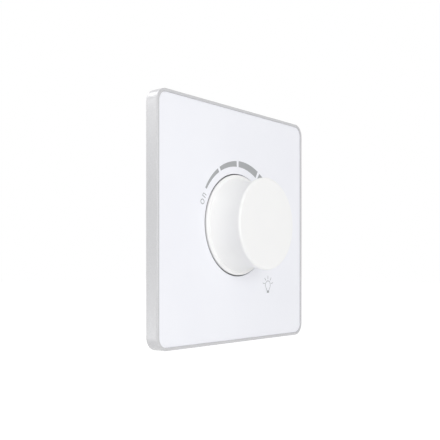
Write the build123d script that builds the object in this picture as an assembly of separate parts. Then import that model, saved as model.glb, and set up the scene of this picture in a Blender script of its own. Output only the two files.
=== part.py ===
from build123d import *
from math import sqrt
import os

# Rotary wall dimmer for a square wall box.
# Millimetres. The origin is the middle of the plate on the wall's surface, +X is right and +Z is up as
# seen from the room, and +Y points into the wall. Heights are measured along the knob's axis from the
# wall's surface: positive towards the room, negative into the wall box.

# Cover: the surround and the panel set into it
PLATE_SIDE = 86.0
PLATE_CORNER_R = 4.6
FRAME_DEPTH = 5.0
FRAME_EDGE_R = 0.9
FRAME_RIM = 1.1
FRAME_WALL = 1.8
LEDGE_WIDTH = 4.0
LEDGE_THICK = 1.0
LEDGE_CORNER_R = 1.5
PANEL_THICK = 1.6
PANEL_SUNK = 0.3
PANEL_GAP = 0.05
PANEL_EDGE = 0.2

# Knob
KNOB_HEIGHT = 13.5
KNOB_FACE_R = 16.6
KNOB_WAIST_R = 15.5
KNOB_FOOT_R = 17.1
KNOB_LIP_R = 18.4
KNOB_LIP_THICK = 1.5
KNOB_LIP_SUNK = 0.7
KNOB_LIP_EASE_SHARE = 0.4
KNOB_EDGE = 0.8
KNOB_WALL = 1.6
KNOB_DRAFT = 0.3
KNOB_ROOF = 2.0
KNOB_GAP = 0.4
HUB_R = 5.2
HUB_SPLIT = 1.0
HUB_SPLIT_DEPTH = 4.2
SOCKET_ROOF = 3.6
RIB_COUNT = 6
RIB_THICK = 1.1
RIB_SET_BACK = 0.6
KNOB_CLIP_THICK = 0.5
KNOB_CLIP_WIDTH = 2.4
KNOB_CLIP_OFFSET = 0.9
KNOB_CLIP_OPEN_ANGLE = 50.0

# Base moulding: the deck on the wall and the box behind it
DECK_EDGE_PLAY = 1.7
DECK_CORNER_R = 3.0
DECK_THICK = 1.6
DECK_RIM = 1.5
BOX_SIDE = 50.0
BOX_CORNER_R = 3.0
BOX_WALL = 1.6
BOARD_LEDGE = 1.2
BOSS_SIZE = 5.6
SLOT_PITCH = 60.3
SLOT_WIDTH = 4.4
SLOT_LENGTH = 8.0
SLOT_PAD_THICK = 1.0
SLOT_PAD_WIDTH = 13.0
SLOT_PAD_HEIGHT = 12.0
VENT_COUNT = 5
VENT_WIDTH = 1.4
VENT_PITCH = 4.0
VENT_LENGTH = 7.0

# Snap hooks of the surround under the edge of the deck
HOOK_COUNT = 2
HOOK_SPACING = 44.0
HOOK_WIDTH = 8.0
HOOK_THICK = 1.0
HOOK_GAP = 0.15
HOOK_BARB = 0.85
HOOK_LIP = 0.7
HOOK_LIFT = 0.15
HOOK_SIDE_PLAY = 0.4

# Potentiometer, from the front
SHAFT_R = 3.0
SHAFT_FLAT = 1.5
RUN_CLEARANCE = 0.05
BUSH_R = 3.5
BUSH_HOLE_PLAY = 0.1
BUSH_PROUD = 0.8
WASHER_R = 6.0
WASHER_THICK = 0.6
NUT_ACROSS = 10.0
NUT_THICK = 2.2
RING_R = 4.6
RING_THICK = 0.7
RING_GROOVE_R = 2.4
RING_OPEN_ANGLE = 70.0
RING_PLAY = 0.1
HUB_PLAY = 1.0
POT_R = 10.6
POT_PLATE_THICK = 1.5
POT_RIM = 0.8
THRUST_PLAY = 0.1
COLLAR_R = 4.2
COLLAR_THICK = 0.5
ROTOR_PLAY = 0.4
ROTOR_THICK = 2.0
STOP_LUG_PLAY = 0.5
STOP_LUG_ANGLE = 10.0
STOP_LUG_REST_ANGLE = 200.0
STOP_PLAY_ANGLE = 1.0
STOP_WALL_REACH = 1.4
WIPER_THICK = 0.3
WIPER_REACH = 0.8
WIPER_WIDTH = 2.0
WIPER_INSET = 1.6
WAFER_THICK = 1.2
CAN_WALL = 0.4
CAN_CRIMP = 0.3
LUG_WIDTH = 1.8
LUG_THICK = 0.4
LUG_PITCH = 3.8
LUG_INSET = 1.5
LUG_STAND_OFF = 1.2
LUG_WINDOW = 11.6

# The dial turns clockwise from off through the click of the switch to full brightness
DIAL_TRAVEL_ANGLE = 230.0

# Switch behind the potentiometer
CAM_R = 4.6
CAM_LOBE_R = 6.0
CAM_LOBE_ANGLE = 30.0
CAM_THICK = 2.6
CAM_END_PLAY = 0.4
CUP_WALL = 1.2
CUP_FLOOR = 1.0
TAIL_R = 1.5
LEAF_PLAY = 0.15
LEAF_THICK = 0.3
LEAF_WIDTH = 2.0
LEAF_TOP = 6.6
LEAF_SET = 2.2
CONTACT_GAP = 0.7
CONTACT_THICK = 0.4
CONTACT_LOW = 4.6
CONTACT_SET = 1.4
TAG_WIDTH = 0.9

# Circuit board and what stands on it
BOARD_THICK = 1.6
BOARD_PLAY = 0.2
BOARD_STAND_OFF = 2.0
PIN = 0.6
PIN_HOLE = 0.9
PIN_PROUD = 0.8
PIN_ROOM = 0.4

SINK_THICK = 1.5
SINK_WIDTH = 30.0
SINK_FOOT = 5.0
SINK_TOP_GAP = 0.4
TRIAC_LENGTH = 9.2
TRIAC_WIDTH = 10.2
TRIAC_THICK = 4.4
TRIAC_LEFT = -9.0
TRIAC_LIFT = 0.3
TRIAC_TAB_LENGTH = 6.4
TRIAC_TAB_THICK = 1.3
TRIAC_LEAD_PITCH = 2.54
TRIAC_LEAD_REACH = 2.0
TRIAC_SCREW_R = 1.5
TRIAC_SCREW_HEAD_R = 2.8
TRIAC_SCREW_HEAD = 1.8

CHOKE_WALL_GAP = 2.6
CHOKE_CORE_R = 6.0
CHOKE_BORE_R = 3.0
CHOKE_HEIGHT = 5.0
CHOKE_TURNS = 16
CHOKE_WIRE = 0.7
CHOKE_WIRE_PLAY = 0.05

FILTER_CAP_WIDTH = 6.0
FILTER_CAP_LENGTH = 13.0
FILTER_CAP_HEIGHT = 11.0
FILTER_CAP_WALL_GAP = 1.0
FILTER_CAP_Z = 5.0
FILTER_CAP_LEADS = 10.0
CAP_ROUND = 0.6

TIMING_CAP_WIDTH = 2.6
TIMING_CAP_LENGTH = 7.0
TIMING_CAP_HEIGHT = 6.5
TIMING_CAP_WALL_GAP = 0.7
TIMING_CAP_PITCH = 3.8
TIMING_CAP_Z = -6.4
TIMING_CAP_LEADS = 5.0

AXIAL_Z = -15.0
RESISTOR_COUNT = 3
RESISTOR_PITCH = 3.2
RESISTOR_WALL_GAP = 5.05
RESISTOR_R = 1.15
RESISTOR_LENGTH = 5.6
DIAC_PITCH = 2.8
DIAC_R = 0.95
DIAC_LENGTH = 3.6
AXIAL_LEAD_REACH = 0.9

FUSE_WALL_GAP = 2.4
FUSE_Z = 7.0
FUSE_LENGTH = 20.0
FUSE_TUBE_R = 2.3
FUSE_CAP_R = 2.6
FUSE_CAP_LENGTH = 5.0
FUSE_LIFT = 3.6
FUSE_CLIP_THICK = 0.4
FUSE_CLIP_WIDTH = 3.6
FUSE_CLIP_OPEN_ANGLE = 110.0
FUSE_CLIP_FOOT = 3.0

# Terminals behind the board, in a bay of the rear cover
TERMINAL_DEPTH = 7.8
TERMINAL_PITCH = 9.0
TERMINAL_BLOCK_WIDTH = 18.0
TERMINAL_BLOCK_HEIGHT = 10.4
TERMINAL_BLOCK_PLAY = 0.2
TERMINAL_FLOOR = 1.0
CAGE_WIDTH = 6.4
CAGE_WALL = 1.0
CAGE_ROOF = 2.0
CAGE_SET = 0.8
CAGE_BACK_GAP = 0.3
WIRE_HOLE_R = 2.1
CAGE_PIN_SET = 0.8
TERMINAL_SCREW_R = 1.5
TERMINAL_SCREW_HEAD_R = 1.9
TERMINAL_SCREW_HEAD = 1.4
TERMINAL_SCREW_LIFT = 0.6
TERMINAL_SCREW_TIP = 0.3
SCREW_ACCESS_R = 2.1
SCREW_SLOT = 0.6

# Rear cover and its screws
REAR_PLATE = 1.6
BAY_WALL = 1.4
BAY_PLATE = 2.0
REAR_SKIRT = 1.2
REAR_PLAY = 0.2
REAR_SCREW_R = 1.3
REAR_SCREW_PLAY = 0.15
REAR_SCREW_LENGTH = 9.0
REAR_SCREW_HEAD_R = 2.2
REAR_SCREW_HEAD = 1.2
REAR_SCREW_SUNK = 0.8
REAR_HEAD_PLAY = 0.2
PILOT_DEPTH = 10.0

OVERCUT = 1.0
DOWN = -90.0
FULL_TURN = 360.0

# Heights that follow from the sizes above, from the room inwards
PANEL_FRONT = FRAME_DEPTH - PANEL_SUNK
PANEL_BACK = PANEL_FRONT - PANEL_THICK
LEDGE_BACK = PANEL_BACK - LEDGE_THICK
KNOB_FACE = PANEL_FRONT + KNOB_HEIGHT
LIP_BACK = PANEL_FRONT - KNOB_LIP_SUNK
LIP_FRONT = LIP_BACK + KNOB_LIP_THICK
SHAFT_TIP = KNOB_FACE - SOCKET_ROOF
NUT_BACK = DECK_THICK + WASHER_THICK
BUSH_FRONT = NUT_BACK + NUT_THICK + BUSH_PROUD
RING_BACK = BUSH_FRONT + RING_PLAY
RING_FRONT = RING_BACK + RING_THICK
HUB_END = RING_FRONT + HUB_PLAY
KNOB_CLIP_LOW = HUB_END + KNOB_CLIP_OFFSET
RIB_LOW = KNOB_CLIP_LOW + KNOB_CLIP_WIDTH + RIB_SET_BACK
POT_PLATE_BACK = -POT_PLATE_THICK
COLLAR_FRONT = POT_PLATE_BACK - THRUST_PLAY
COLLAR_BACK = COLLAR_FRONT - COLLAR_THICK
ROTOR_BACK = COLLAR_BACK - ROTOR_THICK
WIPER_BACK = ROTOR_BACK - WIPER_THICK
WAFER_FRONT = WIPER_BACK - WIPER_REACH
WAFER_BACK = WAFER_FRONT - WAFER_THICK
CAN_BACK = WAFER_BACK - CAN_WALL
CAM_FRONT = CAN_BACK - CAM_END_PLAY
CAM_BACK = CAM_FRONT - CAM_THICK
CUP_INSIDE = CAM_BACK - CAM_END_PLAY
CUP_BACK = CUP_INSIDE - CUP_FLOOR
BOARD_FRONT = CUP_BACK - BOARD_STAND_OFF
BOARD_BACK = BOARD_FRONT - BOARD_THICK
PIN_END = BOARD_BACK - PIN_PROUD
BOX_BACK = PIN_END - PIN_ROOM
REAR_BACK = BOX_BACK - REAR_PLATE
TERMINAL_BACK = BOARD_BACK - TERMINAL_DEPTH
BAY_BACK = TERMINAL_BACK - BAY_PLATE
TRIAC_BACK = BOARD_FRONT + SINK_THICK + TRIAC_LIFT
TRIAC_MID = TRIAC_BACK + TRIAC_WIDTH / 2
TRIAC_FRONT = TRIAC_BACK + TRIAC_WIDTH

# Half widths and radii that follow
DECK_SIDE = PLATE_SIDE - 2 * (FRAME_WALL + DECK_EDGE_PLAY)
PANEL_CORNER_R = PLATE_CORNER_R - FRAME_RIM
REAR_ROOM_HALF = BOX_SIDE / 2 - BOX_WALL
FRONT_ROOM_HALF = REAR_ROOM_HALF - BOARD_LEDGE
BOSS_AT = REAR_ROOM_HALF - BOSS_SIZE / 2
CAN_R = POT_R + CAN_WALL
STOP_WALL_R = POT_R - POT_RIM - STOP_WALL_REACH
ROTOR_R = STOP_WALL_R - ROTOR_PLAY
STOP_LUG_R = POT_R - POT_RIM - STOP_LUG_PLAY
WIPER_TRACK_R = ROTOR_R - WIPER_INSET
LEAF_ROOT = CAN_R - CUP_WALL - LEAF_SET
CONTACT_ROOT = CAN_R - CUP_WALL - CONTACT_SET
PANEL_HOLE_R = KNOB_LIP_R + KNOB_GAP
HOOK_INSIDE = DECK_SIDE / 2 + HOOK_GAP
LEAF_X = CAM_LOBE_R + LEAF_PLAY
CONTACT_X = LEAF_X - CONTACT_GAP - CONTACT_THICK
LUG_Z = -(CAN_R + LUG_STAND_OFF)
SINK_FACE_Z = FRONT_ROOM_HALF - SINK_THICK
TERMINAL_BLOCK_TOP = REAR_ROOM_HALF - REAR_PLAY - REAR_SKIRT - TERMINAL_BLOCK_PLAY
TERMINAL_BLOCK_LOW = TERMINAL_BLOCK_TOP - TERMINAL_BLOCK_HEIGHT
CAGE_LOW = TERMINAL_BLOCK_LOW + CAGE_SET
CAGE_PIN_Z = CAGE_LOW + CAGE_PIN_SET
CAGE_INSIDE = CAGE_WIDTH - 2 * CAGE_WALL
WIRE_Z = CAGE_LOW + CAGE_WALL + CAGE_INSIDE / 2
CAGE_TOP = CAGE_LOW + CAGE_WALL + CAGE_INSIDE + CAGE_ROOF
CAGE_BACK = TERMINAL_BACK + CAGE_BACK_GAP
CAGE_FRONT = BOARD_BACK - TERMINAL_FLOOR
CAGE_MID = (CAGE_BACK + CAGE_FRONT) / 2
FUSE_HEIGHT = BOARD_FRONT + FUSE_LIFT
FUSE_X = FRONT_ROOM_HALF - FUSE_CAP_R - FUSE_WALL_GAP
CHOKE_X = FRONT_ROOM_HALF - CHOKE_CORE_R - CHOKE_WIRE - CHOKE_WALL_GAP
CHOKE_Z = -CHOKE_X
FILTER_CAP_X = FILTER_CAP_WIDTH / 2 + FILTER_CAP_WALL_GAP - FRONT_ROOM_HALF
TIMING_CAP_LEFT = TIMING_CAP_WIDTH / 2 + TIMING_CAP_WALL_GAP - FRONT_ROOM_HALF
TIMING_CAP_X = (TIMING_CAP_LEFT, TIMING_CAP_LEFT + TIMING_CAP_PITCH)
RESISTOR_LEFT = RESISTOR_R + RESISTOR_WALL_GAP - FRONT_ROOM_HALF
RESISTOR_X = [RESISTOR_LEFT + step * RESISTOR_PITCH for step in range(RESISTOR_COUNT)]
DIAC_X = RESISTOR_X[-1] + DIAC_PITCH


def slab(sketch, low, high):
    """A sketch drawn as seen from the room, given the space between two heights."""
    return extrude(Plane.XZ.offset(low) * sketch, amount=high - low)


def disc(radius, low, high, x=0.0, z=0.0):
    """A round plate or hole filler on the knob's axis or beside it."""
    return slab(Pos(x, z) * Circle(radius), low, high)


def bar(x_mid, z_mid, width, length, low, high):
    """A rectangular piece, width along X and length along Z, between two heights."""
    return slab(Pos(x_mid, z_mid) * Rectangle(width, length), low, high)


def pin(x, z, low, high, size=PIN):
    """A square lead running straight into the wall box."""
    return bar(x, z, size, size, low, high)


def upright(radius, x, height, z_low, z_high):
    """A round piece standing along Z, at a place and height behind the room."""
    return extrude(Plane((x, -height, z_low)) * Circle(radius), amount=z_high - z_low)


def sector(inner_r, outer_r, start, end):
    """A flat ring sector, its angles counted from the right and anticlockwise as seen from the room."""
    outer = CenterArc((0, 0), outer_r, start, end - start)
    inner = CenterArc((0, 0), inner_r, start, end - start)
    return make_face([outer, Line(outer @ 1, inner @ 1), inner, Line(inner @ 0, outer @ 0)])


def open_ring(inner_r, outer_r, opening):
    """A flat ring with an opening at its lower side in the sketch."""
    return sector(inner_r, outer_r, DOWN + opening / 2, DOWN + FULL_TURN - opening / 2)


def inset_square(inset, corner_r):
    """A square with rounded corners, a distance inside the plate's outline."""
    side = PLATE_SIDE - 2 * inset
    return RectangleRounded(side, side, corner_r)


def at_corners(distance):
    """The four places at the same distance from both middle planes."""
    return [(x, z) for x in (-distance, distance) for z in (-distance, distance)]


def cover_frame():
    """Surround: outer wall, ledge that carries the panel, and hooks that grip the deck."""
    body = slab(inset_square(0, PLATE_CORNER_R), 0, FRAME_DEPTH)
    front = body.faces().sort_by(Axis.Y)[0]
    body = fillet(front.edges(), FRAME_EDGE_R)
    body -= slab(panel_outline(PANEL_GAP), PANEL_BACK, FRAME_DEPTH + OVERCUT)
    body -= slab(inset_square(FRAME_WALL, PLATE_CORNER_R - FRAME_WALL), -OVERCUT, LEDGE_BACK)
    body -= slab(inset_square(FRAME_RIM + LEDGE_WIDTH, LEDGE_CORNER_R), LEDGE_BACK - OVERCUT,
                 PANEL_BACK + OVERCUT)
    hook = snap_hook()
    for index in range(HOOK_COUNT):
        x = (index - (HOOK_COUNT - 1) / 2) * HOOK_SPACING
        body += Pos(x, 0, 0) * hook
        body += Pos(x, 0, 0) * mirror(hook, about=Plane.XY)
    return body


def snap_hook():
    """One hook: an arm down from the ledge with a barb under the lip of the deck."""
    outside = HOOK_INSIDE + HOOK_THICK
    barb_z = HOOK_INSIDE - HOOK_BARB
    barb_top = DECK_THICK - HOOK_LIP
    outline = Polyline(
        (-LEDGE_BACK, outside), (-HOOK_LIFT, outside), (-HOOK_LIFT, HOOK_INSIDE),
        (-barb_top, barb_z), (-barb_top, HOOK_INSIDE), (-LEDGE_BACK, HOOK_INSIDE), close=True)
    return extrude(Plane.YZ * make_face(outline), amount=HOOK_WIDTH / 2, both=True)


def panel_outline(gap=0.0):
    """Outline of the panel, or of the place it drops into."""
    return inset_square(FRAME_RIM - gap, PANEL_CORNER_R + gap)


def face_panel():
    """Flat panel with a softened front edge and the knob's hole."""
    body = slab(panel_outline(), PANEL_BACK, PANEL_FRONT)
    front = body.faces().sort_by(Axis.Y)[0]
    body = chamfer(front.edges(), PANEL_EDGE)
    return body - disc(PANEL_HOLE_R, PANEL_BACK - OVERCUT, PANEL_FRONT + OVERCUT)


def knob():
    """Hollow waisted knob: lip at its foot, drafted inside, split hub with a D-shaped socket, ribs."""
    middle = (LIP_FRONT + KNOB_FACE) / 2
    edge = eased_rim(KNOB_FACE_R, KNOB_FACE, KNOB_EDGE, 1)
    side = Spline((KNOB_FOOT_R, -LIP_FRONT), (KNOB_WAIST_R, -middle), edge[0])
    ease = KNOB_LIP_EASE_SHARE * KNOB_LIP_THICK
    lip_back = eased_rim(KNOB_LIP_R, LIP_BACK, ease, -1)
    lip_front = eased_rim(KNOB_LIP_R, LIP_FRONT, ease, 1)
    rest = edge + [(0, -KNOB_FACE), (0, -LIP_BACK)] + lip_back[::-1] + lip_front + [side @ 0]
    body = revolve(make_face(side + Polyline(*rest)), Axis.Y)
    body -= knob_cavity()
    body -= slab(d_section(), HUB_END - OVERCUT, SHAFT_TIP)
    split = Rectangle(2 * (HUB_R + OVERCUT), HUB_SPLIT) + Rectangle(HUB_SPLIT, 2 * (HUB_R + OVERCUT))
    return body - slab(split, HUB_END - OVERCUT, HUB_END + HUB_SPLIT_DEPTH)


def eased_rim(radius, height, size, way):
    """Profile points that round a rim in two facets; way is 1 at a front edge and -1 at a back one."""
    near = size * (1 - sqrt(0.5))
    return [(radius, way * size - height), (radius - near, way * near - height), (radius - size, -height)]


def knob_cavity():
    """The room inside the knob, without the hub and the ribs that stand in it."""
    roof = KNOB_FACE - KNOB_ROOF
    mouth = LIP_BACK - OVERCUT
    middle = (LIP_FRONT + KNOB_FACE) / 2
    inside_waist = KNOB_WAIST_R - KNOB_WALL
    outline = Polyline((0, -mouth), (KNOB_FOOT_R - KNOB_WALL, -mouth), (inside_waist, -middle),
                       (inside_waist - KNOB_DRAFT, -roof), (0, -roof), close=True)
    room = revolve(make_face(outline), Axis.Y)
    room -= disc(HUB_R, HUB_END, KNOB_FACE)
    rib = Pos(KNOB_FACE_R / 2, 0) * Rectangle(KNOB_FACE_R, RIB_THICK)
    for index in range(RIB_COUNT):
        turned = Rotation(0, 0, (index + 0.5) * FULL_TURN / RIB_COUNT) * rib
        room -= slab(turned, RIB_LOW, KNOB_FACE)
    return room


def d_section():
    """Section of the shaft's end and of the knob's socket: a circle with a flat on its upper side."""
    drop = SHAFT_R + SHAFT_FLAT
    return Circle(SHAFT_R) & Pos(0, SHAFT_FLAT - drop / 2) * Rectangle(2 * SHAFT_R, drop)


def knob_clip():
    """Open spring ring that squeezes the split hub on to the shaft."""
    ring = open_ring(HUB_R, HUB_R + KNOB_CLIP_THICK, KNOB_CLIP_OPEN_ANGLE)
    return slab(ring, KNOB_CLIP_LOW, KNOB_CLIP_LOW + KNOB_CLIP_WIDTH)


def base_moulding():
    """Deck on the wall, box in the wall, bosses for the rear screws, slots for the box screws."""
    body = slab(RectangleRounded(DECK_SIDE, DECK_SIDE, DECK_CORNER_R), 0, LEDGE_BACK)
    inside = DECK_SIDE - 2 * DECK_RIM
    body -= slab(RectangleRounded(inside, inside, DECK_CORNER_R - DECK_RIM / 2), DECK_THICK,
                 LEDGE_BACK + OVERCUT)
    body += slab(RectangleRounded(BOX_SIDE, BOX_SIDE, BOX_CORNER_R), BOX_BACK, 0)
    bosses = boss_sketch(0)
    body -= slab(Rectangle(2 * FRONT_ROOM_HALF, 2 * FRONT_ROOM_HALF) - bosses, BOARD_FRONT, 0)
    body -= slab(Rectangle(2 * REAR_ROOM_HALF, 2 * REAR_ROOM_HALF) - bosses, BOX_BACK - OVERCUT,
                 BOARD_FRONT)
    for x, z in at_corners(BOSS_AT):
        body -= disc(REAR_SCREW_R, BOX_BACK - OVERCUT, BOX_BACK + PILOT_DEPTH, x, z)
    body -= disc(BUSH_R + BUSH_HOLE_PLAY, -OVERCUT, DECK_THICK + OVERCUT)
    for x in (-SLOT_PITCH / 2, SLOT_PITCH / 2):
        body -= bar(x, 0, SLOT_PAD_WIDTH, SLOT_PAD_HEIGHT, SLOT_PAD_THICK, DECK_THICK + OVERCUT)
        body -= slab(Pos(x, 0) * SlotOverall(SLOT_LENGTH, SLOT_WIDTH), -OVERCUT, DECK_THICK + OVERCUT)
    return body - hook_rebates() - vents()


def boss_sketch(play):
    """The four square corner bosses, grown by a play."""
    size = BOSS_SIZE + 2 * play
    return Sketch() + [Pos(x, z) * Rectangle(size, size) for x, z in at_corners(BOSS_AT)]


def hook_rebates():
    """Rebates under the deck's upper and lower edges where the hooks catch."""
    width = HOOK_WIDTH + 2 * HOOK_SIDE_PLAY
    depth = 2 * (HOOK_BARB + HOOK_SIDE_PLAY)
    places = []
    for index in range(HOOK_COUNT):
        x = (index - (HOOK_COUNT - 1) / 2) * HOOK_SPACING
        for z in (-DECK_SIDE / 2, DECK_SIDE / 2):
            places.append(Pos(x, z) * Rectangle(width, depth))
    return slab(Sketch() + places, -OVERCUT, DECK_THICK - HOOK_LIP)


def vents():
    """Slots in the top wall of the box above the heat sink."""
    slots = []
    for index in range(VENT_COUNT):
        x = (index - (VENT_COUNT - 1) / 2) * VENT_PITCH
        slots.append(Pos(x, -TRIAC_MID) * SlotOverall(VENT_LENGTH, VENT_WIDTH, DOWN))
    return extrude(Plane((0, 0, FRONT_ROOM_HALF - OVERCUT)) * (Sketch() + slots), amount=BOX_SIDE / 4)


def bay_outline(wall=0.0):
    """Outline of the room round the terminal block, or of the bay with its wall."""
    grown = 2 * (TERMINAL_BLOCK_PLAY + wall)
    middle = (TERMINAL_BLOCK_LOW + TERMINAL_BLOCK_TOP) / 2
    return Pos(0, middle) * Rectangle(TERMINAL_BLOCK_WIDTH + grown, TERMINAL_BLOCK_HEIGHT + grown)


def rear_cover():
    """Plate that closes the box, a skirt that presses on the board, and a bay over the terminals."""
    side = 2 * (REAR_ROOM_HALF - REAR_PLAY)
    inside = side - 2 * REAR_SKIRT
    body = slab(RectangleRounded(BOX_SIDE, BOX_SIDE, BOX_CORNER_R), REAR_BACK, BOX_BACK)
    body += slab(Rectangle(side, side) - Rectangle(inside, inside) - boss_sketch(REAR_PLAY), BOX_BACK,
                 BOARD_BACK)
    body += slab(bay_outline(BAY_WALL), BAY_BACK, BOX_BACK)
    body -= slab(bay_outline(), TERMINAL_BACK, BOX_BACK + OVERCUT)
    for x, z in at_corners(BOSS_AT):
        body -= disc(REAR_SCREW_R + REAR_SCREW_PLAY, REAR_BACK - OVERCUT, BOX_BACK + OVERCUT, x, z)
        body -= disc(REAR_SCREW_HEAD_R + REAR_HEAD_PLAY, REAR_BACK - OVERCUT,
                     REAR_BACK + REAR_SCREW_SUNK, x, z)
    for x in terminal_places():
        body -= disc(WIRE_HOLE_R, BAY_BACK - OVERCUT, TERMINAL_BACK + OVERCUT, x, WIRE_Z)
        body -= upright(SCREW_ACCESS_R, x, CAGE_MID, inside / 2 - OVERCUT, BOX_SIDE / 2 + OVERCUT)
    return body


def rear_screws():
    """Four self-tapping screws with slotted heads, seated in the counterbores of the rear cover."""
    seat = REAR_BACK + REAR_SCREW_SUNK
    screws = []
    for x, z in at_corners(BOSS_AT):
        head = disc(REAR_SCREW_HEAD_R, seat - REAR_SCREW_HEAD, seat, x, z)
        head -= bar(x, z, SCREW_SLOT, 2 * REAR_SCREW_HEAD_R, seat - REAR_SCREW_HEAD - OVERCUT,
                    seat - REAR_SCREW_HEAD / 2)
        screws.append(head + disc(REAR_SCREW_R, seat, seat + REAR_SCREW_LENGTH, x, z))
    return screws


def pot_bushing():
    """Die-cast front plate: bush through the deck, rim for the wafer, stop wall for the rotor."""
    body = disc(POT_R, POT_PLATE_BACK, 0) + disc(BUSH_R, 0, BUSH_FRONT)
    body += slab(Circle(POT_R) - Circle(POT_R - POT_RIM), WAFER_FRONT, POT_PLATE_BACK)
    clear = STOP_LUG_ANGLE / 2 + STOP_PLAY_ANGLE
    start = STOP_LUG_REST_ANGLE + clear
    end = STOP_LUG_REST_ANGLE - DIAL_TRAVEL_ANGLE - clear + FULL_TURN
    body += slab(sector(STOP_WALL_R, POT_R - POT_RIM / 2, start, end), ROTOR_BACK, POT_PLATE_BACK)
    body -= lug_window()
    return body - disc(SHAFT_R + RUN_CLEARANCE, POT_PLATE_BACK - OVERCUT, BUSH_FRONT + OVERCUT)


def lug_window():
    """Gap in the rim and the can where the lugs come out."""
    reach = POT_RIM + CAN_WALL + OVERCUT
    return bar(0, -CAN_R, LUG_WINDOW, 2 * reach, WAFER_BACK, WAFER_FRONT + 2 * LUG_THICK)


def pot_washer():
    """Flat washer under the nut."""
    return slab(Circle(WASHER_R) - Circle(BUSH_R + BUSH_HOLE_PLAY), DECK_THICK, NUT_BACK)


def pot_nut():
    """Thin hexagon nut on the bush."""
    hexagon = RegularPolygon(NUT_ACROSS / 2, 6, major_radius=False)
    return slab(hexagon - Circle(BUSH_R), NUT_BACK, NUT_BACK + NUT_THICK)


def resistive_wafer():
    """Phenolic disc that carries the track, seated on the rim of the front plate."""
    return slab(Circle(POT_R) - Circle(COLLAR_R), WAFER_BACK, WAFER_FRONT)


def pot_lugs():
    """Three stamped lugs, bent from the wafer down through the board."""
    inner = -(POT_R - LUG_INSET)
    top = WAFER_FRONT + LUG_THICK
    outline = Polyline(
        (-WAFER_FRONT, inner), (-top, inner), (-top, LUG_Z - LUG_THICK), (-PIN_END, LUG_Z - LUG_THICK),
        (-PIN_END, LUG_Z), (-WAFER_FRONT, LUG_Z), close=True)
    lug = extrude(Plane.YZ * make_face(outline), amount=LUG_WIDTH / 2, both=True)
    return [Pos(x, 0, 0) * lug for x in (-LUG_PITCH, 0, LUG_PITCH)]


def pot_can():
    """Drawn steel cup round the wafer and the front plate."""
    body = slab(Circle(CAN_R), CAN_BACK, -CAN_CRIMP)
    body -= slab(Circle(POT_R), WAFER_BACK, OVERCUT)
    return body - disc(COLLAR_R, CAN_BACK - OVERCUT, WAFER_BACK + OVERCUT) - lug_window()


def pot_shaft():
    """Shaft: flat for the knob, ring groove, thrust collar, plain stretch for the cam, tail pivot."""
    body = disc(SHAFT_R, CAM_BACK, SHAFT_TIP) + disc(COLLAR_R, COLLAR_BACK, COLLAR_FRONT)
    body -= slab(Circle(SHAFT_R + OVERCUT) - Circle(RING_GROOVE_R), RING_BACK, RING_FRONT)
    body -= slab(Circle(SHAFT_R + OVERCUT) - d_section(), HUB_END, SHAFT_TIP + OVERCUT)
    tail = disc(TAIL_R, CUP_BACK, CAM_BACK)
    return body + tail


def shaft_ring():
    """Open retaining ring in the shaft's groove, in front of the bush."""
    return slab(open_ring(RING_GROOVE_R, RING_R, RING_OPEN_ANGLE), RING_BACK, RING_FRONT)


def pot_rotor():
    """Moulded rotor with the lug that meets the stop wall at both ends of the travel."""
    half = STOP_LUG_ANGLE / 2
    lug = sector(WIPER_TRACK_R, STOP_LUG_R, STOP_LUG_REST_ANGLE - half, STOP_LUG_REST_ANGLE + half)
    outline = Circle(ROTOR_R) - Circle(SHAFT_R) + lug
    return slab(outline, ROTOR_BACK, COLLAR_BACK)


def wiper():
    """Bronze plate on the rotor with a finger bent back to the track."""
    plate = slab(Circle(WIPER_TRACK_R) - Circle(SHAFT_R), WIPER_BACK, ROTOR_BACK)
    tip = WAFER_FRONT + THRUST_PLAY
    finger = bar(0, WIPER_TRACK_R - WIPER_WIDTH / 2, WIPER_WIDTH, WIPER_WIDTH, tip, WIPER_BACK)
    return plate + finger


def switch_housing():
    """Moulded cup behind the can that holds the switch and the shaft's tail."""
    body = disc(CAN_R, CUP_BACK, CAN_BACK)
    body -= disc(CAN_R - CUP_WALL, CUP_INSIDE, CAN_BACK + OVERCUT)
    body -= disc(TAIL_R + RUN_CLEARANCE, CUP_BACK - OVERCUT, CUP_INSIDE + OVERCUT)
    return body - switch_leaf() - switch_contact()


def strip_low():
    """Rear edge of the leaf and of the fixed contact."""
    return (CAM_FRONT + CAM_BACK - LEAF_WIDTH) / 2


def switch_leaf():
    """Spring leaf beside the cam, held in the cup's wall, with its tag through the board."""
    low = strip_low()
    mid_x = LEAF_X + LEAF_THICK / 2
    root = -(LEAF_ROOT + TAG_WIDTH)
    strip = bar(mid_x, (LEAF_TOP + root) / 2, LEAF_THICK, LEAF_TOP - root, low, low + LEAF_WIDTH)
    return strip + bar(mid_x, root + TAG_WIDTH / 2, LEAF_THICK, TAG_WIDTH, PIN_END, low)


def switch_contact():
    """Fixed contact that the leaf meets when the lobe has left it, with its tag through the board."""
    low = strip_low()
    mid_x = CONTACT_X + CONTACT_THICK / 2
    top = CONTACT_ROOT + TAG_WIDTH
    strip = bar(mid_x, (CONTACT_LOW + top) / 2, CONTACT_THICK, top - CONTACT_LOW, low, low + LEAF_WIDTH)
    return strip + bar(mid_x, top - TAG_WIDTH / 2, CONTACT_THICK, TAG_WIDTH, PIN_END, low)


def switch_cam():
    """Cam on the shaft's end; its lobe holds the leaf off while the dial is at off."""
    half = CAM_LOBE_ANGLE / 2
    outline = Circle(CAM_R) + sector(SHAFT_R, CAM_LOBE_R, -half, half) - Circle(SHAFT_R)
    return slab(outline, CAM_BACK, CAM_FRONT)


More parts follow.
